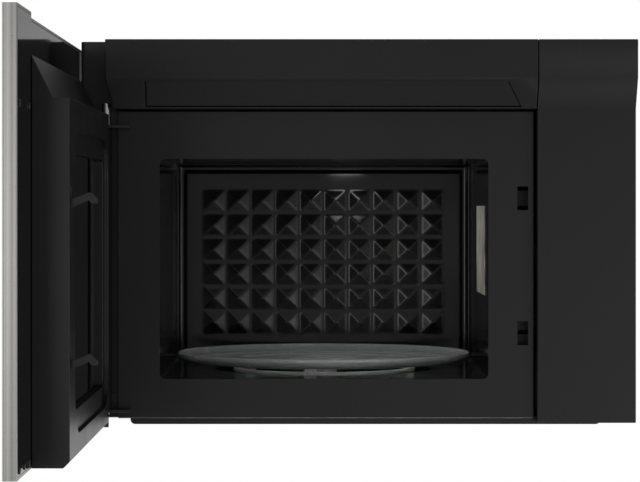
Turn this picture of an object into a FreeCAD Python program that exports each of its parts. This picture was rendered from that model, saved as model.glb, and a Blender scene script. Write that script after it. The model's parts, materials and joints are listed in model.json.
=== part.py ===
import FreeCAD, Part
import math
import os

# Over the range microwave, wall and cabinet hung, door shown open at 90 degrees.
# Row frame: X = 0 on the case's centreline, Y = 0 on the wall, front towards -Y, Z = 0 at mid height.
# "Depth" below is the distance forward from the wall, so y = -depth.

# ---- case -----------------------------------------------------------------------------------
case_width = 606.0
case_height = 417.0
front_depth = 423.0         # wall to the upper face of fascia and column
sheet = 1.0                 # case and cavity steel
skin = 2.5                  # moulded wall
fit_gap = 0.3               # between pieces that part
seam = 0.5                  # between two fixed mouldings
slope_setback = 20.0        # the front's lower face, behind its upper face
frame_setback = 35.0        # front frame, behind the upper face
pocket_sink = 12.0          # hinge pocket and the wrapper's front edge, behind the frame
slope_top_drop = 41.5       # from the roof down to where the fascia starts to lean back
slope_foot_drop = 74.9      # from the roof down to where the lean ends
base_rise = 4.8             # underside of the front frame, above the sides' lower edge
cover_drop = 7.3            # how far the bottom cover hangs below the frame
fascia_inset = 29.0         # fascia's left end, from the case's side
fascia_shift = 7.5          # the fascia's left end leans in by this much at its foot
column_width = 107.5

# ---- front frame and cavity --------------------------------------------------------------------
pocket_width = 40.5         # hinge pocket, from the case's side to the frame
frame_seam = 3.0            # frame to column
frame_drop = 2.2            # frame's top below the fascia's foot
cavity_width = 360.0
cavity_height = 241.0
cavity_behind = 20.0        # cavity to the wall
cavity_rise = 42.2          # cavity floor above the frame's underside
cavity_shift = -2.0         # from the frame's middle
cavity_corner = 6.0
pyramid_pitch = 30.0
pyramid_size = 26.6
pyramid_rise = 6.0
pyramid_columns = 10
pyramid_rows = 6
back_step = 3.0
back_border = 10.8
vent_hole = 4.0
vent_pitch = 9.0

# ---- latch slots and hooks ----------------------------------------------------------------------
slot_inset = 11.75          # slot's middle, from the frame's right edge
slot_width = 11.5
slot_height = 25.8
slot_rises = (77.4, -70.45) # above and below the cavity's middle
hook_width = 6.0
hook_reach = 25.0
hook_drop = 5.8             # hook root below the slot's middle
hook_root = 8.0
hook_rise = 6.0
hook_travel = 4.0
crest_start = 0.64          # the hook's crest, as shares of its reach
crest_end = 0.76
nose_drop = 0.5             # blunt nose, below the root's top
nose_height = 4.0
nose_lean = 1.0
barb_rise = 3.0

# ---- door ---------------------------------------------------------------------------------------
pivot_inset = 28.0          # hinge pins, from the case's side
pivot_reach = 7.0           # hinge pins, in front of the front frame
door_gap = 1.5              # back plate to the fascia's face, and liner to the frame
door_thickness = 13.5
door_top_gap = 3.5          # below the roof
door_step = 5.5             # the top edge is lower over the fascia, as an air outlet
door_edge_gap = 2.5         # liner and step end this far left of the column
shell_sheet = 1.0
shell_corner = 2.4          # the bend round the front
hem_corner = 1.0            # the folded edge at the back
back_plate = 2.0
glass_thick = 4.0
glass_side = 19.0
glass_top_edge = 42.0       # steel above the glass
glass_foot_edge = 47.0      # steel below it
liner_wall = 3.0
liner_overhang = 10.0       # liner past the hinge pins
liner_flat_drop = 4.4       # its flat top below the frame's
liner_slope_drop = 0.6      # its slope's top below the fascia's
liner_foot_drop = 4.3       # its slope's foot below the fascia's
liner_bevel = 6.0
recess_rim = 21.0           # recess edge outside the window opening
recess_corner = 46.0
recess_sink = 4.0
window_side = 24.0          # window's right edge, inside the cavity's
window_top_drop = 2.5       # window's top below the cavity's
window_foot_drop = 3.5      # window's foot below the cavity floor
window_corner = 8.0
screen_sink = 20.5          # perforated screen, behind the liner's face
pane_sink = 9.5             # inner pane, behind the liner's face
pane_thick = 2.0
pull_width = 150.0
pull_height = 16.0

# ---- hinges -------------------------------------------------------------------------------------
pin_radius = 3.0
pin_play = 0.05
pin_hold = 25.0
pin_end = 1.0               # pin's end off the bore's floor
leaf_thick = 3.0
leaf_front = 9.0
leaf_side = 10.0
upper_leaf_drop = 18.4      # upper leaf below the frame's top
lower_leaf_rise = 6.7       # lower leaf above the frame's underside
notch_room = 1.5
notch_reach = 31.0

# ---- turntable -----------------------------------------------------------------------------------
plate_gap = 10.0            # glass plate to the nearest cavity walls
plate_thick = 5.0
plate_rim = 8.0
track_radius = 126.0
track_sink = 8.0
roller_radius = 8.0
roller_width = 8.0
roller_circle = 110.0
ring_width = 7.0
ring_thick = 4.0
axle_radius = 1.8
axle_play = 0.1
coupler_radius = 15.0
coupler_height = 13.0
motor_shaft = 3.5
motor_radius = 25.0
motor_height = 17.0

os.makedirs("parts", exist_ok=True)

# ---- places worked out from the sizes ------------------------------------------------------------
left = -case_width / 2
right = case_width / 2
top = case_height / 2
bottom = -case_height / 2
slope_depth = front_depth - slope_setback
frame_depth = front_depth - frame_setback
pocket_depth = frame_depth - pocket_sink
slope_top = top - slope_top_drop
slope_foot = top - slope_foot_drop
base_height = bottom + base_rise
base_top = base_height - sheet
cover_bottom = base_height - cover_drop
fascia_left = left + fascia_inset
column_left = right - column_width
frame_left = left + pocket_width
frame_right = column_left - frame_seam
frame_top = slope_foot - frame_drop

cavity_mid_x = (frame_left + frame_right) / 2 + cavity_shift
cavity_left = cavity_mid_x - cavity_width / 2
cavity_right = cavity_mid_x + cavity_width / 2
cavity_floor = base_height + cavity_rise
cavity_top = cavity_floor + cavity_height
cavity_mid_z = (cavity_floor + cavity_top) / 2
cavity_back = cavity_behind
cavity_depth = frame_depth - cavity_back
cavity_mid_depth = (cavity_back + frame_depth) / 2
bay_left = cavity_right + sheet
bay_right = right - sheet
track_floor = cavity_floor - track_sink
plate_radius = min(cavity_width, cavity_depth) / 2 - plate_gap

slot_x = frame_right - slot_inset
slot_heights = tuple(cavity_mid_z + rise for rise in slot_rises)
pivot_x = left + pivot_inset
pivot_depth = frame_depth + pivot_reach
upper_leaf = frame_top - upper_leaf_drop
lower_leaf = base_height + lower_leaf_rise

door_back = front_depth + door_gap
door_front = door_back + door_thickness
door_top = top - door_top_gap
door_bottom = cover_bottom
door_step_x = column_left - door_edge_gap
glass_top = door_top - glass_top_edge
glass_bottom = door_bottom + glass_foot_edge
liner_face = frame_depth + door_gap
liner_left = pivot_x - liner_overhang
liner_right = column_left - door_edge_gap
liner_flat_top = frame_top - liner_flat_drop
liner_slope_top = slope_top - liner_slope_drop
liner_slope_foot = slope_foot - liner_foot_drop
liner_slope_run = slope_setback - door_gap
window_left = cavity_left
window_right = cavity_right - window_side
window_top = cavity_top - window_top_drop
window_bottom = cavity_floor - window_foot_drop
screen_depth = liner_face + screen_sink
pane_depth = liner_face + pane_sink


# ---- small helpers -------------------------------------------------------------------------------
def vec(x, depth, z):
    return FreeCAD.Vector(x, -depth, z)


def slab(x0, x1, depth0, depth1, z0, z1):
    return Part.makeBox(x1 - x0, depth1 - depth0, z1 - z0, vec(x0, depth1, z0))


def rod_z(x, depth, z0, z1, radius):
    return Part.makeCylinder(radius, z1 - z0, vec(x, depth, z0))


def rod_x(x0, x1, depth, z, radius):
    return Part.makeCylinder(radius, x1 - x0, vec(x0, depth, z), FreeCAD.Vector(1, 0, 0))


def rod_y(x, depth0, depth1, z, radius):
    return Part.makeCylinder(radius, depth1 - depth0, vec(x, depth1, z), FreeCAD.Vector(0, 1, 0))


def prism(points, push):
    wire = Part.makePolygon(points + points[:1])
    return Part.Face(wire).extrude(push)


def prism_x(profile, x0, x1):
    return prism([vec(x0, depth, z) for depth, z in profile], FreeCAD.Vector(x1 - x0, 0, 0))


def prism_y(profile, depth0, depth1):
    return prism([vec(x, depth1, z) for x, z in profile], FreeCAD.Vector(0, depth1 - depth0, 0))


def prism_z(profile, z0, z1):
    return prism([vec(x, depth, z0) for x, depth in profile], FreeCAD.Vector(0, 0, z1 - z0))


def round_edges(shape, radius, direction):
    edges = [edge for edge in shape.Edges if is_along(edge, direction)]
    return shape.makeFillet(radius, edges)


def is_along(edge, direction):
    if len(edge.Vertexes) != 2:
        return False
    run = edge.Vertexes[1].Point - edge.Vertexes[0].Point
    return abs(run.dot(direction)) > 0.999 * run.Length


def round_upright_edges(shape, radius, depth):
    edges = [edge for edge in shape.Edges
             if is_along(edge, FreeCAD.Vector(0, 0, 1)) and abs(edge.CenterOfMass.y + depth) < radius / 2]
    return shape.makeFillet(radius, edges)


def round_slab_y(x0, x1, depth0, depth1, z0, z1, radius):
    return round_edges(slab(x0, x1, depth0, depth1, z0, z1), radius, FreeCAD.Vector(0, 1, 0))


def round_slab_z(x0, x1, depth0, depth1, z0, z1, radius):
    return round_edges(slab(x0, x1, depth0, depth1, z0, z1), radius, FreeCAD.Vector(0, 0, 1))


def fuse(shapes):
    return shapes[0].multiFuse(shapes[1:]).removeSplitter()


def swing(shape):
    # the door's pieces are drawn closed and turned open about the hinge pins
    turned = shape.copy()
    turned.rotate(vec(pivot_x, pivot_depth, 0), FreeCAD.Vector(0, 0, 1), -90)
    return turned


def save(name, shape):
    solids = shape.Solids
    body = solids[0] if len(solids) == 1 else Part.makeCompound(solids)
    body.exportStep("parts/" + name + ".step")
    print(name, len(solids), "solid(s)", round(body.Volume / 1000, 1), "cm3", shape.isValid())


# ---- case ----------------------------------------------------------------------------------------
duct_width = 254.0          # nominal 10 inch duct
duct_length = 82.6          # by 3 1/4 inch
duct_depth = 24.0           # from the wall to the duct
collar_wall = 1.2
collar_height = 22.0
bolt_radius = 3.2
bolt_spacing = 440.0
bolt_depth = 200.0
cord_inset = 41.0           # from the case's right side
cord_depth = 60.0
cord_hole = 11.0
hook_slot_width = 40.0
hook_slot_height = 8.0
hook_slot_spacing = 420.0
hook_slot_drop = 58.5       # slots' lower edge below the roof
panel_nose_gap = 0.5        # left panel's nose, off the open door and the frame

cord_x = right - cord_inset
hook_slot_z = top - hook_slot_drop


def make_case_roof():
    roof = slab(left, right, 0, pocket_depth, top - sheet, top)
    duct = slab(-duct_width / 2, duct_width / 2, duct_depth, duct_depth + duct_length, top - sheet, top)
    holes = [rod_z(side * bolt_spacing / 2, bolt_depth, top - sheet, top, bolt_radius) for side in (-1, 1)]
    holes.append(rod_z(cord_x, cord_depth, top - sheet, top, cord_hole))
    return roof.cut([duct] + holes)


def make_side_panel(x):
    return slab(x, x + sheet, 0, pocket_depth, bottom, top - sheet)


def make_left_panel():
    # above the frame its edge runs forward, as far as the open door leaves room
    nose = slab(left, left + sheet, pocket_depth, pivot_depth - liner_overhang - panel_nose_gap,
                frame_top + panel_nose_gap, top - sheet)
    return make_side_panel(left).fuse(nose).removeSplitter()


def make_rear_panel():
    panel = slab(left + sheet, right - sheet, 0, sheet, bottom, top - sheet)
    slots = []
    for side in (-1, 1):
        middle = side * hook_slot_spacing / 2
        half = hook_slot_width / 2
        slots.append(slab(middle - half, middle + half, 0, sheet,
                          hook_slot_z, hook_slot_z + hook_slot_height))
    return panel.cut(slots)


# ---- base: pan, bottom cover, grease filters and cooktop lamp ------------------------------------
cover_left_inset = 54.0     # cover's ends, from the case's sides
cover_right_inset = 37.0
cover_back = 12.0
cover_sheet = 1.2
cover_corner = 5.5
filter_width = 130.0
filter_length = 230.0
filter_thick = 4.5
filter_pad = 1.4            # mesh pad along the top of the filter's frame
filter_setback = 58.0       # filters behind the front frame
filter_spacing = 220.0
filter_ledge = 8.0          # how far the cover's window keeps inside the filter
filter_inside = 2.0         # the filter's rim is narrower by this much
lamp_window_width = 157.0
lamp_window_length = 30.0
lamp_window_setback = 14.0  # lamp window behind the front frame
lamp_board_thick = 1.6
lamp_chip = 5.0
lamp_chip_thick = 1.0

cover_left = left + cover_left_inset
cover_right = right - cover_right_inset
cover_mid_x = (cover_left + cover_right) / 2
filter_front = frame_depth - filter_setback
lamp_window_front = frame_depth - lamp_window_setback
filter_back = filter_front - filter_length
filter_bottom = cover_bottom + cover_sheet + fit_gap
filter_middles = (cavity_mid_x - filter_spacing / 2, cavity_mid_x + filter_spacing / 2)


def filter_openings(z0, z1):
    half = filter_width / 2 - filter_ledge
    depth0 = filter_back + filter_ledge
    depth1 = filter_front - filter_ledge
    return [slab(x - half, x + half, depth0, depth1, z0, z1) for x in filter_middles]


def make_base_pan():
    pan = slab(left + sheet, right - sheet, sheet, pocket_depth, base_height - sheet, base_height)
    lip = slab(frame_left, frame_right, pocket_depth, frame_depth - sheet, base_height - sheet, base_height)
    return fuse([pan, lip]).cut(filter_openings(base_height - sheet, base_height))


def make_bottom_cover():
    blank = slab(cover_left, cover_right, cover_back, frame_depth, cover_bottom, base_top)
    ends = [edge for edge in blank.Edges if is_along(edge, FreeCAD.Vector(0, 1, 0))
            and edge.CenterOfMass.z < cover_bottom + 1]
    outer = blank.makeFillet(cover_corner, ends)
    wall = cover_sheet
    hollow = slab(cover_left + cover_corner, cover_right - cover_corner, cover_back + wall,
                  frame_depth - wall, cover_bottom + wall, base_top)
    cover = outer.cut(hollow)
    half = lamp_window_width / 2
    lamp = slab(cover_mid_x - half, cover_mid_x + half, lamp_window_front - lamp_window_length,
                lamp_window_front, cover_bottom, cover_bottom + wall)
    return cover.cut([lamp] + filter_openings(cover_bottom, cover_bottom + wall))


def make_grease_filter(middle):
    half = filter_width / 2
    body = slab(middle - half, middle + half, filter_back, filter_front,
                filter_bottom, filter_bottom + filter_thick)
    rim = filter_ledge - filter_inside
    dish = slab(middle - half + rim, middle + half - rim, filter_back + rim, filter_front - rim,
                filter_bottom, filter_bottom + filter_thick - filter_pad)
    return body.cut(dish)


def make_lamp_lens():
    half = lamp_window_width / 2
    return slab(cover_mid_x - half, cover_mid_x + half, lamp_window_front - lamp_window_length,
                lamp_window_front, cover_bottom, cover_bottom + cover_sheet)


def make_cooktop_lamp():
    half = lamp_window_width / 2
    board = slab(cover_mid_x - half, cover_mid_x + half, lamp_window_front - lamp_window_length,
                 lamp_window_front, base_top - lamp_board_thick, base_top)
    chips = []
    under = base_top - lamp_board_thick
    middle = lamp_window_front - lamp_window_length / 2
    reach = lamp_chip / 2
    for step in range(-2, 3):
        x = cover_mid_x + step * lamp_window_width / 6
        chips.append(slab(x - reach, x + reach, middle - reach, middle + reach,
                          under - lamp_chip_thick, under))
    return fuse([board] + chips)


# ---- front frame and cavity liner ----------------------------------------------------------------
def slot_openings(depth0, depth1):
    half_x = slot_width / 2
    half_z = slot_height / 2
    return [slab(slot_x - half_x, slot_x + half_x, depth0, depth1, z - half_z, z + half_z)
            for z in slot_heights]


def make_front_frame():
    plate = slab(frame_left, frame_right, frame_depth - sheet, frame_depth, base_height, frame_top)
    step = slab(frame_left, frame_left + sheet, pocket_depth, frame_depth - sheet, base_height, frame_top)
    pocket = slab(left + sheet, frame_left + sheet, pocket_depth - sheet, pocket_depth,
                  base_height, top - sheet)
    ledge = slab(frame_left, frame_right, pocket_depth, frame_depth - sheet, frame_top - sheet, frame_top)
    frame = fuse([plate, step, pocket, ledge])
    mouth = round_slab_y(cavity_left, cavity_right, frame_depth - sheet, frame_depth,
                         cavity_floor, cavity_top, cavity_corner)
    return frame.cut([mouth] + slot_openings(frame_depth - sheet, frame_depth))


def pyramid(middle_x, middle_z, base_depth):
    half = pyramid_size / 2
    corners = [vec(middle_x + dx * half, base_depth, middle_z + dz * half)
               for dx, dz in ((-1, -1), (1, -1), (1, 1), (-1, 1))]
    tip = vec(middle_x, base_depth + pyramid_rise, middle_z)
    faces = [Part.Face(Part.makePolygon(corners + corners[:1]))]
    for index in range(4):
        trio = [corners[index], corners[(index + 1) % 4], tip]
        faces.append(Part.Face(Part.makePolygon(trio + trio[:1])))
    solid = Part.Solid(Part.Shell(faces))
    if solid.Volume < 0:
        solid.reverse()
    return solid


def vent_holes(middle_depth, middle_z, columns, rows, x0, x1):
    holes = []
    for column in range(columns):
        for row in range(rows):
            depth = middle_depth + (column - (columns - 1) / 2) * vent_pitch
            z = middle_z + (row - (rows - 1) / 2) * vent_pitch
            holes.append(rod_x(x0, x1, depth, z, vent_hole / 2))
    return holes


guide_setback = 128.0       # middle of the microwave feed, behind the front frame
guide_rise = 19.0           # above the cavity's middle
guide_length = 140.0
guide_height = 100.0
feed_inset = 20.0           # feed hole inside the guide, along its length
feed_edge = 15.0            # and along its height
mica_thick = 0.6
lamp_setback = 36.0         # lamp holes behind the front frame
lamp_rise = 29.0
lamp_hole_columns = 3
lamp_hole_rows = 11
outlet_setback = 103.0      # air outlet holes behind the front frame
outlet_rise = 31.0
outlet_hole_columns = 14
outlet_hole_rows = 7
shaft_room = 1.0            # hole round the drive shaft

guide_depth = frame_depth - guide_setback
guide_z = cavity_mid_z + guide_rise
lamp_depth = frame_depth - lamp_setback
lamp_z = cavity_mid_z + lamp_rise
outlet_depth = frame_depth - outlet_setback
outlet_z = cavity_mid_z + outlet_rise


def cavity_block(depth0, depth1):
    return round_slab_y(cavity_left - sheet, cavity_right + sheet, depth0, depth1,
                        cavity_floor - sheet, cavity_top + sheet, cavity_corner + sheet)


def make_cavity_liner():
    outer = cavity_block(cavity_back, frame_depth - sheet)
    inner = round_slab_y(cavity_left, cavity_right, cavity_back, frame_depth - sheet,
                         cavity_floor, cavity_top, cavity_corner)
    pan = rod_z(cavity_mid_x, cavity_mid_depth, track_floor - sheet, cavity_floor, track_radius + sheet)
    track = rod_z(cavity_mid_x, cavity_mid_depth, track_floor, cavity_floor + sheet, track_radius)
    shaft = rod_z(cavity_mid_x, cavity_mid_depth, track_floor - sheet, track_floor, motor_shaft + shaft_room)
    liner = outer.fuse(pan).cut([inner, track, shaft])
    half_length = guide_length / 2 - feed_inset
    half_height = guide_height / 2 - feed_edge
    feed = slab(cavity_right, bay_left, guide_depth - half_length, guide_depth + half_length,
                guide_z - half_height, guide_z + half_height)
    lamp_holes = vent_holes(lamp_depth, lamp_z, lamp_hole_columns, lamp_hole_rows, cavity_right, bay_left)
    outlet_holes = vent_holes(outlet_depth, outlet_z, outlet_hole_columns, outlet_hole_rows,
                              cavity_left - sheet, cavity_left)
    return liner.cut([feed] + lamp_holes + outlet_holes).removeSplitter()


def make_cavity_back():
    wall = cavity_block(cavity_back - sheet, cavity_back)
    panel = slab(cavity_left + back_border, cavity_right - back_border, cavity_back,
                 cavity_back + back_step, cavity_floor + back_border, cavity_top - back_border)
    pyramids = []
    for column in range(pyramid_columns):
        for row in range(pyramid_rows):
            x = cavity_mid_x + (column - (pyramid_columns - 1) / 2) * pyramid_pitch
            z = cavity_mid_z + (row - (pyramid_rows - 1) / 2) * pyramid_pitch
            pyramids.append(pyramid(x, z, cavity_back + back_step))
    return fuse([wall, panel] + pyramids)


def make_waveguide_cover():
    return slab(cavity_right - mica_thick, cavity_right, guide_depth - guide_length / 2,
                guide_depth + guide_length / 2, guide_z - guide_height / 2, guide_z + guide_height / 2)


lamp_box = (28.0, 34.0, 104.0)
lamp_bulb = 6.0
lamp_socket = 8.0
lamp_neck = 4.0


def lamp_block(inset):
    width, length, height = lamp_box
    return slab(bay_left, bay_left + width - inset, lamp_depth - length / 2 + inset,
                lamp_depth + length / 2 - inset, lamp_z - height / 2 + inset, lamp_z + height / 2 - inset)


def make_lamp_housing():
    return lamp_block(0).cut(lamp_block(sheet))


def make_cavity_lamp():
    foot = bay_left + lamp_box[0] - sheet
    shoulder = foot - lamp_socket
    x1 = shoulder - lamp_neck
    socket = rod_x(shoulder, foot, lamp_depth, lamp_z, lamp_bulb * 1.2)
    neck = rod_x(x1, shoulder, lamp_depth, lamp_z, lamp_bulb * 0.6)
    bulb = rod_x(x1 - 2 * lamp_bulb, x1, lamp_depth, lamp_z, lamp_bulb)
    rims = [edge for edge in bulb.Edges if len(edge.Vertexes) == 1]
    bulb = bulb.makeFillet(lamp_bulb * 0.7, rims)
    return fuse([socket, neck, bulb])


# ---- fascia, vent cover, louvre and column -------------------------------------------------------
band_left_inset = 43.0      # band's ends, from the fascia's
band_right_inset = 32.5
band_lean = 15.0            # the band's right end leans out by this much at its foot
band_sink = 1.5
band_upper = 0.12           # where the band starts and ends down the slope
band_lower = 0.94
band_thick = 2.0
louvre_behind = 1.0         # in front of the front frame
louvre_before = 3.0         # behind the slope's foot
louvre_slat = 2.0
louvre_pitch = 12.0

band_left = fascia_left + band_left_inset
band_right = column_left - band_right_inset
louvre_back = frame_depth + louvre_behind
louvre_front = slope_depth - louvre_before
louvre_left = frame_left + skin
louvre_right = column_left - seam - 2 * skin
slope_run = front_depth - slope_depth
slope_fall = slope_top - slope_foot


def slope_point(share, inward):
    # a point on the fascia's slope, "share" of the way down it and "inward" from its face
    length = math.hypot(slope_run, slope_fall)
    depth = front_depth - share * slope_run - inward * slope_fall / length
    z = slope_top - share * slope_fall + inward * slope_run / length
    return depth, z


def front_profile(foot, inset):
    # side view of the moulded front: upright, leaning back, then upright again to the foot
    shift = inset * math.tan(math.atan2(slope_run, slope_fall) / 2)
    return [(pocket_depth, top - inset), (front_depth - inset, top - inset),
            (front_depth - inset, slope_top + shift), (slope_depth - inset, slope_foot + shift),
            (slope_depth - inset, foot), (pocket_depth, foot)]


def band_outline(x0, x1, lean, inward0, inward1):
    # a panel lying in the slope, as a prism between two depths below its face
    rows = [(band_upper, x1), (band_lower, x1 + lean)]
    corners = []
    for inward in (inward0, inward1):
        ring = []
        for share, x_end in rows:
            depth, z = slope_point(share, inward)
            ring.append((vec(x0, depth, z), vec(x_end, depth, z)))
        corners.append([ring[0][0], ring[0][1], ring[1][1], ring[1][0]])
    front, back = corners
    faces = [Part.Face(Part.makePolygon(front + front[:1])), Part.Face(Part.makePolygon(back + back[:1]))]
    for index in range(4):
        after = (index + 1) % 4
        side = [front[index], front[after], back[after], back[index]]
        faces.append(Part.Face(Part.makePolygon(side + side[:1])))
    solid = Part.Solid(Part.Shell(faces))
    if solid.Volume < 0:
        solid.reverse()
    return solid


def make_top_fascia():
    x1 = column_left - seam
    below = slab(left, right, 0, front_depth, bottom, slope_foot)
    body = prism_x(front_profile(bottom, 0), fascia_left, x1).cut(below)
    under = slab(left, right, 0, front_depth, bottom, slope_foot + skin)
    hollow = prism_x(front_profile(bottom, skin), fascia_left + fascia_shift + skin, x1 - skin).cut(under)
    end = [(fascia_left, slope_top), (fascia_left + fascia_shift, slope_foot), (fascia_left, slope_foot)]
    end_cut = prism_y(end, pocket_depth, front_depth)
    band = band_outline(band_left, band_right, band_lean, -1, band_sink + band_thick)
    outlet = slab(louvre_left, louvre_right, louvre_back, louvre_front, slope_foot, slope_foot + skin)
    return body.cut([hollow, end_cut, band, outlet])


def make_vent_cover():
    return band_outline(band_left + fit_gap, band_right - fit_gap, band_lean,
                        band_sink, band_sink + band_thick)


def make_air_louvre():
    strip = slab(louvre_left, louvre_right, louvre_back, louvre_front, slope_foot, slope_foot + skin)
    count = int((louvre_right - louvre_left) / louvre_pitch)
    cuts = []
    for index in range(count):
        start = louvre_left + louvre_slat + index * louvre_pitch
        cuts.append(slab(start, start + louvre_pitch - louvre_slat, louvre_back + louvre_slat,
                         louvre_front - louvre_slat, slope_foot, slope_foot + skin))
    return strip.cut(cuts)


def make_side_column():
    body = prism_x(front_profile(bottom, 0), column_left, right)
    hollow = prism_x(front_profile(bottom + skin, skin), column_left + skin, right - skin)
    cover_end = slab(column_left, cover_right + fit_gap, pocket_depth, frame_depth + fit_gap,
                     bottom, base_top)
    return body.cut([hollow, cover_end])


charcoal_width = 300.0
charcoal_thick = 10.0
charcoal_behind = 2.0       # from the wrapper's front edge
charcoal_headroom = 7.9     # below the fascia's upper wall


def make_charcoal_filter():
    half = charcoal_width / 2
    back = pocket_depth + charcoal_behind
    return slab(-half, half, back, back + charcoal_thick, slope_foot + skin, top - skin - charcoal_headroom)


# ---- top: duct collar, damper, cord bushing and weld nuts ----------------------------------------
flap_thick = 1.0
flap_gap = 2.0
flap_drop = 16.0            # flap below the roof
flap_rod = 1.5
rod_play = 0.05
bushing_bore = 7.0
bushing_flange = 14.0
bushing_thick = 3.0
nut_height = 6.0
nut_across = 11.0

duct_left = -duct_width / 2
duct_right = duct_width / 2
duct_front = duct_depth + duct_length
roof_under = top - sheet
collar_bottom = roof_under - collar_height
flap_rod_depth = duct_depth + flap_gap + flap_rod
flap_z = top - flap_drop


def make_duct_collar():
    wall = collar_wall
    outer = slab(duct_left - wall, duct_right + wall, duct_depth - wall, duct_front + wall,
                 collar_bottom, roof_under)
    inner = slab(duct_left, duct_right, duct_depth, duct_front, collar_bottom, roof_under)
    bore = rod_x(duct_left - wall, duct_right + wall, flap_rod_depth, flap_z, flap_rod + rod_play)
    return outer.cut([inner, bore])


def make_damper_flap():
    leaf = slab(duct_left + flap_gap, duct_right - flap_gap, flap_rod_depth, duct_front - flap_gap,
                flap_z - flap_thick / 2, flap_z + flap_thick / 2)
    rod = rod_x(duct_left - collar_wall, duct_right + collar_wall, flap_rod_depth, flap_z, flap_rod)
    return fuse([leaf, rod])


def make_cord_bushing():
    tube = rod_z(cord_x, cord_depth, roof_under, top, cord_hole)
    flange = rod_z(cord_x, cord_depth, roof_under - bushing_thick, roof_under, bushing_flange)
    bore = rod_z(cord_x, cord_depth, roof_under - bushing_thick, top, bushing_bore)
    return fuse([tube, flange]).cut(bore)


def weld_nuts():
    nuts = []
    for side in (-1, 1):
        x = side * bolt_spacing / 2
        radius = nut_across / math.sqrt(3)
        corners = [(x + radius * math.cos(math.radians(60 * k)),
                    bolt_depth + radius * math.sin(math.radians(60 * k))) for k in range(6)]
        nut = prism_z(corners, roof_under - nut_height, roof_under)
        nuts.append(nut.cut(rod_z(x, bolt_depth, roof_under - nut_height, roof_under, bolt_radius)))
    return nuts


# ---- door, drawn closed --------------------------------------------------------------------------
hem = 3.0                   # the shell's folded edge round the back plate
spring_radius = 4.0
spring_bore = 2.6
spring_length = 22.0
seat_margin = 2.0           # spring seat round the spring
slit_room = 1.0             # round the hooks
lever_width = 10.0
lever_thick = 4.0
lever_over = 12.0           # lever past its hooks, each end
pull_wall = 1.5
pull_inset = 33.0           # finger pull, from the case's right side
board_left_inset = 10.5     # from the column's left edge
board_right_inset = 11.0    # from the case's right side
board_top_inset = 43.0      # inside the glass
board_foot_inset = 44.0
board_thick = 1.6
relay_size = (20.0, 3.0, 15.0)
relay_count = 3
relay_pitch = 30.0
relay_inset = (10.0, 20.0)
display_height = 34.0
display_width = 64.0
display_thick = 4.0
display_drop = 28.0         # display's middle below the board's top
screw_head = 3.5
screw_head_thick = 1.6
screw_rows = (8.0, 2.0)     # above the door's foot, below the board's top
screw_sides = (18.5, 15.0)  # from the column's left edge and from the case's right side
screw_middle = 54.5         # the lower row's middle screw, from the column's left edge

pull_right = right - pull_inset
board_left = column_left + board_left_inset
board_right = right - board_right_inset
board_top = glass_top - board_top_inset
board_bottom = glass_bottom + board_foot_inset
display_z = board_top - display_drop
lever_depth = liner_face + liner_wall + fit_gap
hook_heights = tuple(z - hook_drop - hook_root / 2 for z in slot_heights)


def door_block(inset, depth0, depth1):
    # the door's outline, stepped along its top, drawn in from its edge by "inset"
    block = slab(left + inset, right - inset, depth0, depth1, door_bottom + inset, door_top - inset)
    step = slab(left, door_step_x + inset, depth0, depth1, door_top - door_step - inset, door_top)
    return block.cut(step)


def window_slab(grow, depth0, depth1):
    return window_block(grow, depth0, depth1, window_corner + grow)


def window_block(grow, depth0, depth1, corner):
    return round_slab_y(window_left - grow, window_right + grow, depth0, depth1,
                        window_bottom - grow, window_top + grow, corner)


def make_door_shell():
    blank = slab(left, right, door_back, door_front, door_bottom, door_top)
    outer = round_upright_edges(blank, shell_corner, door_front)
    outer = round_upright_edges(outer, hem_corner, door_back)
    step = slab(left, door_step_x, door_back, door_front, door_top - door_step, door_top)
    hollow = door_block(shell_sheet, door_back + shell_sheet, door_front - shell_sheet)
    back_opening = door_block(hem, door_back, door_back + shell_sheet)
    glass_opening = slab(left + glass_side, right - glass_side, door_front - shell_sheet, door_front,
                         glass_bottom, glass_top)
    pull = slab(pull_right - pull_width, pull_right, door_back + back_plate, door_front - shell_sheet,
                door_bottom, door_bottom + shell_sheet)
    return outer.cut([step, hollow, back_opening, glass_opening, pull])


def make_door_glass():
    return slab(left + glass_side, right - glass_side, door_front - glass_thick, door_front,
                glass_bottom, glass_top)


def make_door_back_plate():
    plate = door_block(hem, door_back, door_back + back_plate)
    return plate.cut(window_slab(0, door_back, door_back + back_plate))


def make_finger_pull():
    depth0 = door_back + back_plate
    depth1 = door_front - shell_sheet
    outer = slab(pull_right - pull_width, pull_right, depth0, depth1, door_bottom, door_bottom + pull_height)
    wall = pull_wall
    inner = slab(pull_right - pull_width + wall, pull_right - wall, depth0 + wall, depth1 - wall,
                 door_bottom, door_bottom + pull_height - wall)
    return outer.cut(inner)


def hinge_block(z0, z1):
    return slab(liner_left, pivot_x + notch_reach + liner_wall, liner_face,
                pivot_depth + leaf_front + notch_room + liner_wall, z0, z1)


def hinge_notch(z0, z1):
    return slab(liner_left, pivot_x + notch_reach, liner_face,
                pivot_depth + leaf_front + notch_room, z0, z1)


def liner_profile(inset):
    lean = liner_slope_top - liner_slope_foot
    drop = inset * math.hypot(liner_slope_run, lean) / liner_slope_run
    flat = liner_flat_top - inset
    foot_depth = door_back - (liner_slope_top - drop - flat) * liner_slope_run / lean
    floor = door_bottom + inset
    return [(liner_face + inset, floor + liner_bevel), (liner_face + inset + liner_bevel, floor),
            (door_back, floor), (door_back, liner_slope_top - drop),
            (foot_depth, flat), (liner_face + inset, flat)]


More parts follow.
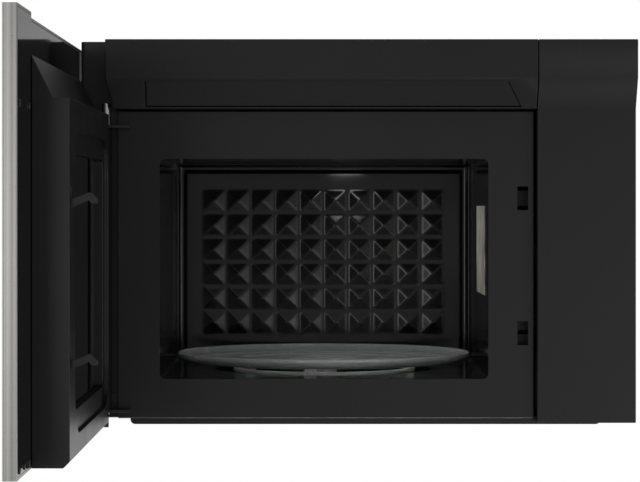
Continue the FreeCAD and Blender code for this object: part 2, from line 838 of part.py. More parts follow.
def make_door_liner():
    wall = liner_wall
    body = prism_x(liner_profile(0), liner_left, liner_right)
    body = body.cut(prism_x(liner_profile(wall), liner_left + wall, liner_right - wall))
    recess = window_block(recess_rim, liner_face, liner_face + recess_sink, recess_corner)
    recess_back = window_block(recess_rim + wall, liner_face, liner_face + recess_sink + wall,
                               recess_corner + wall)
    tube = window_slab(wall, liner_face + recess_sink, door_back)
    upper_floor = upper_leaf - notch_room
    lower_roof = lower_leaf + leaf_thick + notch_room
    blocks = [hinge_block(upper_floor - pin_hold - wall, liner_flat_top),
              hinge_block(door_bottom, lower_roof + pin_hold + wall)]
    body = body.multiFuse([recess_back, tube] + blocks)
    notches = [hinge_notch(upper_floor, liner_slope_foot), hinge_notch(door_bottom, lower_roof)]
    bore = pin_radius + pin_play
    bores = [rod_z(pivot_x, pivot_depth, upper_floor - pin_hold, upper_floor, bore),
             rod_z(pivot_x, pivot_depth, lower_roof, lower_roof + pin_hold, bore)]
    slits = []
    for z in hook_heights:
        half = hook_width / 2 + slit_room
        slits.append(slab(slot_x - half, slot_x + half, liner_face, liner_face + wall,
                          z - slit_room, z + hook_root + hook_rise + hook_travel + slit_room))
    hole = window_slab(0, liner_face, door_back)
    seat_top = min(hook_heights) - lever_over - spring_length
    reach = spring_radius + seat_margin
    seat = slab(slot_x - reach, slot_x + reach, liner_face + wall,
                lever_depth + 2 * spring_radius, seat_top - wall, seat_top)
    body = body.fuse(seat)
    return body.cut([recess, hole] + notches + bores + slits).removeSplitter()


def make_window_screen():
    return window_slab(0, screen_depth, screen_depth + sheet)


def make_inner_pane():
    return window_slab(0, pane_depth, pane_depth + pane_thick)


def hook(z):
    # side view of one hook: depth measured back from the liner's face, height from its root
    tail = -liner_wall - 1
    crest = hook_root + hook_rise
    nose = hook_root - nose_drop
    chin = nose - nose_height
    start = crest_start * hook_reach
    end = crest_end * hook_reach
    profile = [(tail, 0), (tail, hook_root), (0, hook_root), (start, crest), (end, crest),
               (hook_reach, nose), (hook_reach - nose_lean, chin), (end, chin),
               (start, chin + barb_rise), (0, 0)]
    points = [(liner_face - out, z + height) for out, height in profile]
    half = hook_width / 2
    return prism_x(points, slot_x - half, slot_x + half)


def make_latch_lever():
    half = lever_width / 2
    z0 = min(hook_heights) - lever_over
    z1 = max(hook_heights) + hook_root + lever_over
    bar = slab(slot_x - half, slot_x + half, lever_depth, lever_depth + lever_thick, z0, z1)
    return fuse([bar] + [hook(z) for z in hook_heights])


def make_latch_spring():
    z1 = min(hook_heights) - lever_over
    depth = lever_depth + spring_radius
    outer = rod_z(slot_x, depth, z1 - spring_length, z1, spring_radius)
    return outer.cut(rod_z(slot_x, depth, z1 - spring_length, z1, spring_bore))


def make_control_board():
    depth1 = door_front - glass_thick - display_thick
    board = slab(board_left, board_right, depth1 - board_thick, depth1, board_bottom, board_top)
    relays = []
    width, length, height = relay_size
    x = board_left + relay_inset[0]
    for index in range(relay_count):
        z = board_bottom + relay_inset[1] + index * relay_pitch
        relays.append(slab(x, x + width, depth1, depth1 + length, z, z + height))
    return fuse([board] + relays)


def make_display_module():
    x = (board_left + board_right) / 2
    depth1 = door_front - glass_thick
    return slab(x - display_width / 2, x + display_width / 2, depth1 - display_thick, depth1,
                display_z - display_height / 2, display_z + display_height / 2)


def make_door_screws():
    x0 = column_left + screw_sides[0]
    x1 = right - screw_sides[1]
    z0 = door_bottom + screw_rows[0]
    z1 = board_top - screw_rows[1]
    spots = ((x0, z0), (column_left + screw_middle, z0), (x1, z0), (x0, z1), (x1, z1))
    heads = [rod_y(x, door_back - screw_head_thick, door_back, z, screw_head) for x, z in spots]
    return Part.makeCompound(heads)


# ---- hinges --------------------------------------------------------------------------------------
leaf_right = 26.0           # leaf past the pivot, over the front frame
flange_thick = 2.0
flange_height = 16.0
flange_screws = (0.25, 0.72)
pin_top = 24.0              # upper pin above its leaf
pin_head = 4.5
pin_head_thick = 2.5


def make_hinge_bracket(z):
    roof = z + leaf_thick
    front = pivot_depth + leaf_front
    edge = frame_left - seam
    behind = slab(pivot_x - leaf_side, pivot_x, pocket_depth, pivot_depth, z, roof)
    middle = slab(pivot_x, edge, pocket_depth, front, z, roof)
    ahead = slab(edge, pivot_x + leaf_right, frame_depth, front, z, roof)
    knuckle = rod_z(pivot_x, pivot_depth, z, roof, leaf_front)
    flange = slab(pivot_x - leaf_side, edge, pocket_depth, pocket_depth + flange_thick,
                  roof, roof + flange_height)
    hole = rod_z(pivot_x, pivot_depth, z, roof, pin_radius)
    return fuse([behind, middle, ahead, knuckle, flange]).cut(hole)


def make_hinge_pins():
    z_top = upper_leaf + leaf_thick
    upper = rod_z(pivot_x, pivot_depth, upper_leaf - notch_room - pin_hold + pin_end, z_top + pin_top,
                  pin_radius)
    collar = rod_z(pivot_x, pivot_depth, z_top, z_top + pin_top, pin_head)
    lower = rod_z(pivot_x, pivot_depth, lower_leaf, lower_leaf + leaf_thick + notch_room + pin_hold - pin_end,
                  pin_radius)
    head = rod_z(pivot_x, pivot_depth, lower_leaf - pin_head_thick, lower_leaf, pin_head)
    return Part.makeCompound([fuse([upper, collar]), fuse([lower, head])])


def hinge_screws():
    heads = []
    for z in (upper_leaf, lower_leaf):
        for share in flange_screws:
            height = z + leaf_thick + share * flange_height
            depth = pocket_depth + flange_thick
            heads.append(rod_y(pivot_x, depth, depth + screw_head_thick, height, screw_head))
    return heads


# ---- turntable -----------------------------------------------------------------------------------
axle_z = track_floor + roller_radius
plate_z = track_floor + 2 * roller_radius
shaft_play = 0.05
shaft_grip = 6.0
rim_run = 22.0
rim_foot = 2.0              # the rim starts this far outside the flat
rim_thick = 4.0
rim_width = 3.0
arm_count = 3
arm_width = 6.0
hub_share = 0.6             # hub's radius, of the coupler's
coupler_roof = 3.0
ear_reach = 10.0
ear_width = 12.0
ear_thick = 2.0
bore_spare = 1.0            # motor's bore below the shaft
roller_count = 3
roller_start = -98          # first roller, in degrees
hoop_gap = 1.0              # hoop to the rollers' faces
stub_root = 2.0             # axle's root inside the hoop
cap_gap = 0.5
cap_thick = 1.0
cap_lip = 1.0


def turned(profile):
    # a solid of revolution about the turntable's axis, from (radius, height) points
    points = [vec(cavity_mid_x + radius, cavity_mid_depth, z) for radius, z in profile]
    face = Part.Face(Part.makePolygon(points + points[:1]))
    return face.revolve(vec(cavity_mid_x, cavity_mid_depth, 0), FreeCAD.Vector(0, 0, 1), 360)


def spun(shape, angle):
    copy = shape.copy()
    copy.rotate(vec(cavity_mid_x, cavity_mid_depth, 0), FreeCAD.Vector(0, 0, 1), angle)
    return copy


def make_glass_turntable():
    z = plate_z
    flat = plate_radius - rim_run
    rim_top = z + plate_rim + rim_thick
    return turned([(0, z), (flat + rim_foot, z), (plate_radius, z + plate_rim), (plate_radius, rim_top),
                   (plate_radius - rim_width, rim_top), (flat, z + plate_thick), (0, z + plate_thick)])


def make_drive_coupler():
    z0 = plate_z - coupler_height
    hub = rod_z(cavity_mid_x, cavity_mid_depth, z0, plate_z, coupler_radius * hub_share)
    half = arm_width / 2
    arm = slab(cavity_mid_x, cavity_mid_x + coupler_radius, cavity_mid_depth - half, cavity_mid_depth + half,
               z0, plate_z)
    arms = [spun(arm, index * 360 / arm_count) for index in range(arm_count)]
    bore = rod_z(cavity_mid_x, cavity_mid_depth, z0, plate_z - coupler_roof, motor_shaft)
    return fuse([hub] + arms).cut(bore)


def make_drive_shaft():
    z0 = track_floor - sheet - shaft_grip
    return rod_z(cavity_mid_x, cavity_mid_depth, z0, plate_z - coupler_roof, motor_shaft)


def make_turntable_motor():
    z1 = track_floor - sheet
    can = rod_z(cavity_mid_x, cavity_mid_depth, z1 - motor_height, z1, motor_radius)
    reach = motor_radius + ear_reach
    ears = slab(cavity_mid_x - reach, cavity_mid_x + reach, cavity_mid_depth - ear_width / 2,
                cavity_mid_depth + ear_width / 2, z1 - ear_thick, z1)
    bore = rod_z(cavity_mid_x, cavity_mid_depth, z1 - shaft_grip - bore_spare, z1, motor_shaft + shaft_play)
    return fuse([can, ears]).cut(bore)


def axle(length0, length1, radius):
    return rod_x(cavity_mid_x + length0, cavity_mid_x + length1, cavity_mid_depth, axle_z, radius)


def make_roller_ring():
    outer = roller_circle - roller_width / 2 - hoop_gap
    wheel_face = roller_circle + roller_width / 2
    hoop = rod_z(cavity_mid_x, cavity_mid_depth, axle_z - ring_thick / 2, axle_z + ring_thick / 2, outer)
    hole = rod_z(cavity_mid_x, cavity_mid_depth, axle_z - ring_thick / 2, axle_z + ring_thick / 2,
                 outer - ring_width)
    stub = axle(outer - stub_root, wheel_face + cap_gap + cap_thick, axle_radius)
    cap = axle(wheel_face + cap_gap, wheel_face + cap_gap + cap_thick, axle_radius + cap_lip)
    stubs = []
    for index in range(roller_count):
        angle = roller_angle(index)
        stubs.append(spun(stub, angle))
        stubs.append(spun(cap, angle))
    return fuse([hoop.cut(hole)] + stubs)


def roller_angle(index):
    return roller_start + index * 360 / roller_count


def make_roller(index):
    start = roller_circle - roller_width / 2
    end = roller_circle + roller_width / 2
    wheel = axle(start, end, roller_radius - fit_gap).cut(axle(start, end, axle_radius + axle_play))
    return spun(wheel, roller_angle(index))


# ---- machinery in the right bay ------------------------------------------------------------------
duct_thick = 26.0
guide_back = 100.0
magnetron_depth = 150.0
magnetron_half = 42.0
magnetron_width = 78.0
magnetron_plate = 2.0
magnetron_core = 18.0
antenna_radius = 9.0
antenna_hole = 12.0
antenna_clear = 8.0         # antenna's tip to the cavity wall
yoke_thick = 3.0
fin_count = 7
fin_thick = 1.0
fin_start = 8.0             # first fin, from the plate's face
fin_end = 2.0
fin_margin = 6.0            # fins to the yoke
transformer_inset = 28.0    # from the side panel
transformer_size = (96.0, 86.0, 80.0)
transformer_back = 215.0
core_inset = 18.0           # windings stand out of the core, front and back
winding_side = 16.0
winding_end = 14.0
winding_corner = 10.0
mount_foot = (6.0, 14.0, 2.0)   # reach, inset and thickness of the mounting foot
capacitor_inset = 66.0      # from the side panel
capacitor_size = (54.0, 34.0, 96.0)
capacitor_back = 120.0
tab_shares = (0.35, 0.65)
tab_size = (6.0, 1.0, 10.0)
fan_shift = -1.0            # from the bay's middle
fan_rise = 1.0              # above the cavity's middle
fan_size = 120.0
fan_thick = 34.0
fan_bore = 54.0
fan_sweep = 50.0
fan_hub = 19.0
fan_shaft = 2.0
fan_blades = 7
fan_boss = 8.0
fan_front_gap = 3.0         # rotor behind the frame's front
bore_floor = 1.0
shaft_end = 1.0             # shaft's end off the bore's floor
strut_width = 6.0
strut_thick = 3.0
blade_thick = 1.5
blade_width = 22.0
blade_root = 3.0            # sunk into the hub
blade_angle = 38
filter_board_rise = 161.0   # above the cavity's middle
filter_board_width = 100.0
filter_board_height = 70.0
filter_board_stand = 9.0    # off the rear panel
post_radius = 3.0
post_inset = 10.0
choke_radius = 16.0
choke_length = 22.4
film_cap_size = (24.0, 16.4, 24.0)
film_cap_place = (20.0, -20.0)

transformer_right = bay_right - transformer_inset
transformer_left = transformer_right - transformer_size[0]
capacitor_left = bay_right - capacitor_inset - capacitor_size[0]
fan_x = (bay_left + bay_right) / 2 + fan_shift
fan_z = cavity_mid_z + fan_rise
filter_board_z = cavity_mid_z + filter_board_rise


def make_waveguide():
    x0 = bay_left
    front = guide_depth + guide_length / 2
    half = guide_height / 2
    outer = slab(x0, x0 + duct_thick, guide_back, front, guide_z - half, guide_z + half)
    inner = slab(x0, x0 + duct_thick - sheet, guide_back + sheet, front - sheet,
                 guide_z - half + sheet, guide_z + half - sheet)
    hole = rod_x(x0, x0 + duct_thick, magnetron_depth, guide_z, antenna_hole)
    return outer.cut([inner, hole])


def make_magnetron():
    x0 = bay_left + duct_thick
    x1 = x0 + magnetron_width
    depth0 = magnetron_depth - magnetron_half
    depth1 = magnetron_depth + magnetron_half
    z0 = guide_z - magnetron_half
    z1 = guide_z + magnetron_half
    plate = slab(x0, x0 + magnetron_plate, depth0, depth1, z0, z1)
    antenna = rod_x(bay_left + antenna_clear, x0, magnetron_depth, guide_z, antenna_radius)
    core = rod_x(x0 + magnetron_plate, x1, magnetron_depth, guide_z, magnetron_core)
    yoke_top = slab(x0 + magnetron_plate, x1, depth0, depth1, z1 - yoke_thick, z1)
    yoke_end = slab(x1 - yoke_thick, x1, depth0, depth1, z0, z1)
    pitch = (magnetron_width - fin_start - fin_end) / fin_count
    fins = []
    for index in range(fin_count):
        x = x0 + fin_start + index * pitch
        fins.append(slab(x, x + fin_thick, depth0, depth1, z0 + fin_margin, z1 - fin_margin))
    return fuse([plate, antenna, core, yoke_top, yoke_end] + fins)


def make_transformer():
    length, height = transformer_size[1:]
    x1 = transformer_right
    depth1 = transformer_back + length
    core = slab(transformer_left, x1, transformer_back + core_inset, depth1 - core_inset,
                base_height, base_height + height)
    windings = round_slab_z(transformer_left + winding_side, x1 - winding_side, transformer_back, depth1,
                            base_height + winding_end, base_height + height - winding_end, winding_corner)
    reach, inset, thick = mount_foot
    foot = slab(transformer_left - reach, x1 + reach, transformer_back + inset, depth1 - inset,
                base_height, base_height + thick)
    return fuse([core, windings, foot])


def make_capacitor():
    width, length, height = capacitor_size
    can = round_slab_z(capacitor_left, capacitor_left + width, capacitor_back, capacitor_back + length,
                       base_height, base_height + height, length / 2 - 1)
    tabs = []
    middle = capacitor_back + length / 2
    roof = base_height + height
    for share in tab_shares:
        x = capacitor_left + share * width
        tabs.append(slab(x - tab_size[0] / 2, x + tab_size[0] / 2, middle - tab_size[1] / 2,
                         middle + tab_size[1] / 2, roof, roof + tab_size[2]))
    return fuse([can] + tabs)


def make_fan_frame():
    half = fan_size / 2
    depth0 = sheet
    depth1 = sheet + fan_thick
    frame = slab(fan_x - half, fan_x + half, depth0, depth1, fan_z - half, fan_z + half)
    frame = frame.cut(rod_y(fan_x, depth0, depth1, fan_z, fan_bore))
    boss = rod_y(fan_x, depth0, depth0 + fan_boss, fan_z, fan_hub)
    rib = strut_width / 2
    struts = [slab(fan_x - half, fan_x + half, depth0, depth0 + strut_thick, fan_z - rib, fan_z + rib),
              slab(fan_x - rib, fan_x + rib, depth0, depth0 + strut_thick, fan_z - half, fan_z + half)]
    bore = rod_y(fan_x, depth0 + bore_floor, depth0 + fan_boss, fan_z, fan_shaft + shaft_play)
    return fuse([frame, boss] + struts).cut(bore)


def make_fan_rotor():
    depth0 = sheet + fan_boss + fit_gap
    depth1 = sheet + fan_thick - fan_front_gap
    hub = rod_y(fan_x, depth0, depth1, fan_z, fan_hub)
    shaft = rod_y(fan_x, sheet + bore_floor + shaft_end, depth0, fan_z, fan_shaft)
    middle = (depth0 + depth1) / 2
    blade = slab(fan_x + fan_hub - blade_root, fan_x + fan_sweep, middle - blade_thick / 2,
                 middle + blade_thick / 2, fan_z - blade_width / 2, fan_z + blade_width / 2)
    blade.rotate(vec(fan_x, middle, fan_z), FreeCAD.Vector(1, 0, 0), blade_angle)
    blades = []
    for index in range(fan_blades):
        copy = blade.copy()
        copy.rotate(vec(fan_x, 0, fan_z), FreeCAD.Vector(0, 1, 0), index * 360 / fan_blades)
        blades.append(copy)
    return fuse([hub, shaft] + blades)


def make_noise_filter_board():
    half_x = filter_board_width / 2
    half_z = filter_board_height / 2
    back = sheet + filter_board_stand
    front = back + board_thick
    parts = [slab(fan_x - half_x, fan_x + half_x, back, front,
                  filter_board_z - half_z, filter_board_z + half_z)]
    for side_x in (-1, 1):
        for side_z in (-1, 1):
            x = fan_x + side_x * (half_x - post_inset)
            z = filter_board_z + side_z * (half_z - post_inset)
            parts.append(rod_y(x, sheet, back, z, post_radius))
    parts.append(rod_y(fan_x, front, front + choke_length, filter_board_z, choke_radius))
    width, length, height = film_cap_size
    x = fan_x + film_cap_place[0]
    z = filter_board_z + film_cap_place[1]
    parts.append(slab(x, x + width, front, front + length, z, z + height))
    return fuse(parts)


switch_gap = 3.0
switch_size = (13.0, 26.0, 18.0)
switch_stagger = 11.0       # the lower two, above and below their hook
bracket_side = 2.5          # bracket's web past the slots
bracket_thick = 1.5
bracket_reach = 57.0
bracket_above = 26.0
bracket_below = 34.0
bracket_foot_inset = 28.0   # its foot's end, from the frame's edge
bracket_foot_height = 14.0

web_x = slot_x + slot_width / 2 + bracket_side


def make_latch_switch_bracket():
    z0 = min(slot_heights) - bracket_below
    z1 = max(slot_heights) + bracket_above
    front = frame_depth - sheet
    web = slab(web_x, web_x + bracket_thick, front - bracket_reach, front, z0, z1)
    foot = slab(frame_right - bracket_foot_inset, web_x, front - bracket_thick, front,
                z0, z0 + bracket_foot_height)
    return fuse([web, foot])


def make_interlock_switches():
    width, length, height = switch_size
    depth1 = liner_face - hook_reach - switch_gap
    low, high = min(slot_heights), max(slot_heights)
    bodies = []
    for z in (high, low + switch_stagger, low - switch_stagger):
        bodies.append(slab(web_x - width, web_x, depth1 - length, depth1, z - height / 2, z + height / 2))
    return Part.makeCompound(bodies)


# ---- blower above the cavity ---------------------------------------------------------------------
scroll_headroom = 2.0       # scroll below the duct collar
scroll_skin = 1.5
scroll_margin = 13.0        # scroll past the duct, each end
scroll_forward = 42.0       # scroll's axis in front of the duct's back edge
wheel_gap = 8.0             # wheel to the scroll
wheel_width = 80.0
wheel_end = 18.0            # wheel to the scroll's end
wheel_disc = 2.0
wheel_hoop = 3.0
vane_width = 6.0
vane_thick = 1.0
inlet_lip = 8.0             # scroll's inlet inside the wheel
wheel_vanes = 24
motor_ring = 16.0           # motor to the scroll
blower_motor_half = 30.0
blower_shaft = 4.0
blower_foot = 20.0

scroll_room = collar_bottom - scroll_headroom - cavity_top - sheet
scroll_radius = scroll_room / 2 - scroll_skin
scroll_z = cavity_top + sheet + scroll_room / 2
scroll_half = duct_right + scroll_margin
scroll_depth = duct_depth + scroll_forward
wheel_radius = scroll_radius - wheel_gap
wheel_middle = scroll_half - wheel_end - wheel_width / 2
blower_motor_radius = scroll_radius - motor_ring


def make_blower_housing():
    drum = rod_x(-scroll_half, scroll_half, scroll_depth, scroll_z, scroll_radius + scroll_skin)
    throat = slab(-scroll_half, scroll_half, duct_depth - scroll_skin, duct_front + scroll_skin,
                  scroll_z, collar_bottom)
    inner_drum = rod_x(-scroll_half + scroll_skin, scroll_half - scroll_skin, scroll_depth, scroll_z,
                       scroll_radius)
    inner_throat = slab(-scroll_half + scroll_skin, scroll_half - scroll_skin, duct_depth, duct_front,
                        scroll_z, collar_bottom - scroll_skin)
    mouth = slab(duct_left, duct_right, duct_depth, duct_front, collar_bottom - scroll_skin, collar_bottom)
    inlets = rod_x(-scroll_half, scroll_half, scroll_depth, scroll_z, wheel_radius - inlet_lip)
    return drum.fuse(throat).cut([inner_drum, inner_throat, mouth, inlets]).removeSplitter()


def make_blower_motor():
    can = rod_x(-blower_motor_half, blower_motor_half, scroll_depth, scroll_z, blower_motor_radius)
    half = blower_foot / 2
    floor = scroll_z - math.sqrt(scroll_radius ** 2 - half ** 2)
    foot = slab(-half, half, scroll_depth - half, scroll_depth + half, floor, scroll_z)
    bore = rod_x(-blower_motor_half, blower_motor_half, scroll_depth, scroll_z, blower_shaft + shaft_play)
    return fuse([can, foot]).cut(bore)


def make_blower_wheels():
    parts = [rod_x(-wheel_middle - wheel_width / 2, wheel_middle + wheel_width / 2, scroll_depth, scroll_z,
                   blower_shaft)]
    for side in (-1, 1):
        x0 = side * wheel_middle - wheel_width / 2
        x1 = x0 + wheel_width
        disc_x = x0 if side > 0 else x1 - wheel_disc
        parts.append(rod_x(disc_x, disc_x + wheel_disc, scroll_depth, scroll_z, wheel_radius))
        hoop_x = x1 - wheel_hoop if side > 0 else x0
        hoop = rod_x(hoop_x, hoop_x + wheel_hoop, scroll_depth, scroll_z, wheel_radius)
        inside = wheel_radius - vane_width
        parts.append(hoop.cut(rod_x(hoop_x, hoop_x + wheel_hoop, scroll_depth, scroll_z, inside)))
        vane = slab(x0, x1, scroll_depth + inside, scroll_depth + wheel_radius, scroll_z - vane_thick / 2,
                    scroll_z + vane_thick / 2)
        for index in range(wheel_vanes):
            copy = vane.copy()
            copy.rotate(vec(0, scroll_depth, scroll_z), FreeCAD.Vector(1, 0, 0), index * 360 / wheel_vanes)
            parts.append(copy)
    return fuse(parts)


cover_screw_radius = 3.5
cover_screw_shank = 2.0
screw_end_inset = 12.0      # from the cover's ends
screw_back_inset = 20.0
screw_front_inset = 8.0     # from the frame


def cover_screw_spots():
    return [(x, depth) for x in (cover_left + screw_end_inset, cover_mid_x, cover_right - screw_end_inset)
            for depth in (cover_back + screw_back_inset, frame_depth - screw_front_inset)]


def cover_screws():
    screws = []
    for x, depth in cover_screw_spots():
        head = rod_z(x, depth, cover_bottom, cover_bottom + cover_sheet, cover_screw_radius)
        shank = rod_z(x, depth, cover_bottom, base_top, cover_screw_shank)
        screws.append(fuse([head, shank]))
    return screws


def screw_holes():
    return [rod_z(x, depth, cover_bottom, cover_bottom + cover_sheet, cover_screw_radius)
            for x, depth in cover_screw_spots()]


# ---- the pieces, each written as its own node ----------------------------------------------------
fixed_pieces = {
    "case_roof": make_case_roof(),
    "left_side_panel": make_left_panel(),
    "right_side_panel": make_side_panel(right - sheet),
    "rear_panel": make_rear_panel(),
    "base_pan": make_base_pan(),
    "bottom_cover": make_bottom_cover().cut(screw_holes()),
    "case_fasteners": Part.makeCompound(cover_screws() + hinge_screws() + weld_nuts()),
    "left_grease_filter": make_grease_filter(filter_middles[0]),
    "right_grease_filter": make_grease_filter(filter_middles[1]),
    "cooktop_lamp_lens": make_lamp_lens(),
    "cooktop_lamp": make_cooktop_lamp(),
    "front_frame": make_front_frame(),
    "cavity_liner": make_cavity_liner(),
    "cavity_back": make_cavity_back(),
    "waveguide_cover": make_waveguide_cover(),
    "lamp_housing": make_lamp_housing(),
    "cavity_lamp": make_cavity_lamp(),
    "top_fascia": make_top_fascia(),
    "vent_cover": make_vent_cover(),
    "air_louvre": make_air_louvre(),
    "side_column": make_side_column(),
    "charcoal_filter": make_charcoal_filter(),
    "duct_collar": make_duct_collar(),
    "damper_flap": make_damper_flap(),
    "cord_bushing": make_cord_bushing(),
    "upper_hinge_bracket": make_hinge_bracket(upper_leaf),
    "lower_hinge_bracket": make_hinge_bracket(lower_leaf),
    "hinge_pins": make_hinge_pins(),
    "glass_turntable": make_glass_turntable(),
    "drive_coupler": make_drive_coupler(),
    "drive_shaft": make_drive_shaft(),
    "turntable_motor": make_turntable_motor(),
    "roller_ring": make_roller_ring(),
    "waveguide": make_waveguide(),
    "magnetron": make_magnetron(),
    "transformer": make_transformer(),
    "capacitor": make_capacitor(),
    "cooling_fan_frame": make_fan_frame(),
    "cooling_fan_rotor": make_fan_rotor(),
    "noise_filter_board": make_noise_filter_board(),
    "latch_switch_bracket": make_latch_switch_bracket(),
    "interlock_switches": make_interlock_switches(),
    "blower_housing": make_blower_housing(),
    "blower_motor": make_blower_motor(),
    "blower_wheels": make_blower_wheels(),
}
for index in range(roller_count):
    fixed_pieces["roller_" + str(index + 1)] = make_roller(index)

door_pieces = {
    "door_shell": make_door_shell(),
    "door_glass": make_door_glass(),
    "door_back_plate": make_door_back_plate(),
    "door_liner": make_door_liner(),
    "window_screen": make_window_screen(),
    "inner_pane": make_inner_pane(),
    "finger_pull": make_finger_pull(),
    "control_board": make_control_board(),
    "display_module": make_display_module(),
    "door_screws": make_door_screws(),
    "latch_lever": make_latch_lever(),
    "latch_spring": make_latch_spring(),
}

for name, shape in fixed_pieces.items():
    save(name, shape)
for name, shape in door_pieces.items():
    save(name, swing(shape))
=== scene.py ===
import json
import math
import bmesh
import bpy
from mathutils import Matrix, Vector


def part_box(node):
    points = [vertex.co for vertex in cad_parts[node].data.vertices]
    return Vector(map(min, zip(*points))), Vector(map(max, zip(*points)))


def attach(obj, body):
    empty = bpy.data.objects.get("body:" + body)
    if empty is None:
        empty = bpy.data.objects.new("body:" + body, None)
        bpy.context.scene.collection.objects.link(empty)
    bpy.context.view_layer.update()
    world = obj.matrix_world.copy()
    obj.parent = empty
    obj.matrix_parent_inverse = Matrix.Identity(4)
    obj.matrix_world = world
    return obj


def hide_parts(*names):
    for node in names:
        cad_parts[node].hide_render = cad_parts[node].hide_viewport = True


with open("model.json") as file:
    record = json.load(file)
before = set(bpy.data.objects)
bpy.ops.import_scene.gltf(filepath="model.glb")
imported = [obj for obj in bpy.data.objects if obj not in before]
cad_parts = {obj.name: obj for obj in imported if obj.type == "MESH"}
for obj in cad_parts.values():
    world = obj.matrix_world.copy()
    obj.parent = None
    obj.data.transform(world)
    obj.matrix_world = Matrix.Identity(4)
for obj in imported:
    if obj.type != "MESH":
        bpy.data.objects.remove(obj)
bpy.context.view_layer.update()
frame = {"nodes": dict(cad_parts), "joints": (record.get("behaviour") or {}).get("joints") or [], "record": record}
mm = 0.001


# sRGB hex to the linear colour that the sockets take
def fromHex(code):
    channels = [int(code[i:i + 2], 16) / 255 for i in (1, 3, 5)]
    linear = [c / 12.92 if c <= 0.04045 else ((c + 0.055) / 1.055) ** 2.4 for c in channels]
    return (*linear, 1.0)


# one node with its settings; an input is a value or another node's output
def addNode(tree, kind, inputs, **settings):
    node = tree.nodes.new(kind)
    for name, value in settings.items():
        setattr(node, name, value)
    for key, value in inputs.items():
        if isinstance(value, bpy.types.NodeSocket):
            tree.links.new(value, node.inputs[key])
        else:
            node.inputs[key].default_value = value
    return node


# ---- camera, sky, lamps and floor
print("stage: camera and light")

# the lens sees 2570 px of focal length across the photograph's 640, horizon at row 205
view = {"place": (-0.0435, -3.203, 0.029), "focalPx": 2570, "imageWidthPx": 640, "imageHeightPx": 482,
        "aheadColumnPx": 318, "horizonRowPx": 205}


def makeCamera():
    data = bpy.data.cameras.new("camera")
    data.sensor_width = 36
    data.lens = data.sensor_width * view["focalPx"] / view["imageWidthPx"]
    data.shift_x = (view["imageWidthPx"] / 2 - view["aheadColumnPx"]) / view["imageWidthPx"]
    data.shift_y = (view["horizonRowPx"] - view["imageHeightPx"] / 2) / view["imageWidthPx"]
    camera = bpy.data.objects.new("camera", data)
    camera.location = view["place"]
    camera.rotation_euler = (math.pi / 2, 0, 0)
    bpy.context.scene.collection.objects.link(camera)
    bpy.context.scene.camera = camera


# a white backdrop stands behind the object and fades into a dim room overhead and on the camera's side
sky = {"fill": 0.45, "front": 0.33, "back": 0.72, "overhead": 0.15, "fadeFrom": -0.06, "fadeTo": 0.14,
       "nearFrom": -0.6, "nearTo": 0.3}


def makeSky():
    world = bpy.data.worlds.new("sky")
    world.use_nodes = True
    tree = world.node_tree
    tree.nodes.clear()
    path = addNode(tree, "ShaderNodeLightPath", {})
    where = addNode(tree, "ShaderNodeTexCoord", {})
    axes = addNode(tree, "ShaderNodeSeparateXYZ", {"Vector": where.outputs["Generated"]})
    # how bright mirrors and glass see the room: the backdrop by height, then from the camera's side to it
    backdrop = addNode(tree, "ShaderNodeMapRange", {"Value": axes.outputs["Z"], "From Min": sky["fadeFrom"],
                       "From Max": sky["fadeTo"], "To Min": sky["back"], "To Max": sky["overhead"]})
    room = addNode(tree, "ShaderNodeMapRange", {"Value": axes.outputs["Y"], "From Min": sky["nearFrom"],
                   "From Max": sky["nearTo"], "To Min": sky["front"], "To Max": backdrop.outputs["Result"]},
                   interpolation_type="SMOOTHSTEP")
    mirrored = addNode(tree, "ShaderNodeMath", {0: path.outputs["Is Glossy Ray"],
                       1: path.outputs["Is Transmission Ray"]}, operation="MAXIMUM")
    seen = addNode(tree, "ShaderNodeMix", {"Factor": mirrored.outputs[0], 2: sky["fill"],
                   3: room.outputs["Result"]}, data_type="FLOAT")
    shown = addNode(tree, "ShaderNodeMix", {"Factor": path.outputs["Is Camera Ray"],
                    2: seen.outputs[0], 3: 1.0}, data_type="FLOAT")
    glow = addNode(tree, "ShaderNodeBackground", {"Color": (1, 1, 1, 1), "Strength": shown.outputs[0]})
    addNode(tree, "ShaderNodeOutputWorld", {"Surface": glow.outputs[0]})
    bpy.context.scene.world = world


# soft lamps round the object: place and size in metres, power in watts
lamps = {
    "lowRight": {"place": (1.7, -2.6, -0.7), "size": 1.5, "power": 7},
    "nearRight": {"place": (0.85, -3.0, -0.5), "size": 1.1, "power": 1.5},
    "highLeft": {"place": (-1.6, -2.4, 1.7), "size": 1.8, "power": 1.6},
    "leftSide": {"place": (-2.3, -0.9, 0.0), "size": 1.2, "power": 5},
    "leftEdge": {"place": (-0.95, -2.7, 0.0), "size": 0.9, "power": 3.6},
    "behind": {"place": (0.9, 2.2, 3.2), "size": 2.0, "power": 9},
    # the oven's own light comes down on the turntable, and a little of it glints in the back wall
    "ovenLamp": {"place": (0.0, -0.24, 0.07), "size": 0.08, "power": 0.26, "aim": (0.03, -0.24, -0.14),
                 "mirrored": False},
    "ovenGlint": {"place": (-0.008, -0.125, 0.071), "size": 0.045, "power": 0.02,
                  "aim": (-0.008, -0.1, -0.14)},
}


def makeLamps():
    for name, lamp in lamps.items():
        aim = Vector(lamp.get("aim", (-0.02, -0.4, 0.0)))
        data = bpy.data.lights.new(name, "AREA")
        data.shape = "DISK"
        data.size = lamp["size"]
        data.energy = lamp["power"]
        light = bpy.data.objects.new(name, data)
        light.location = lamp["place"]
        light.visible_glossy = lamp.get("mirrored", True)
        light.rotation_euler = (aim - light.location).to_track_quat("-Z", "Y").to_euler()
        bpy.context.scene.collection.objects.link(light)


ground = {"height": -0.9, "radius": 1.2, "colour": "#e8e8e6"}


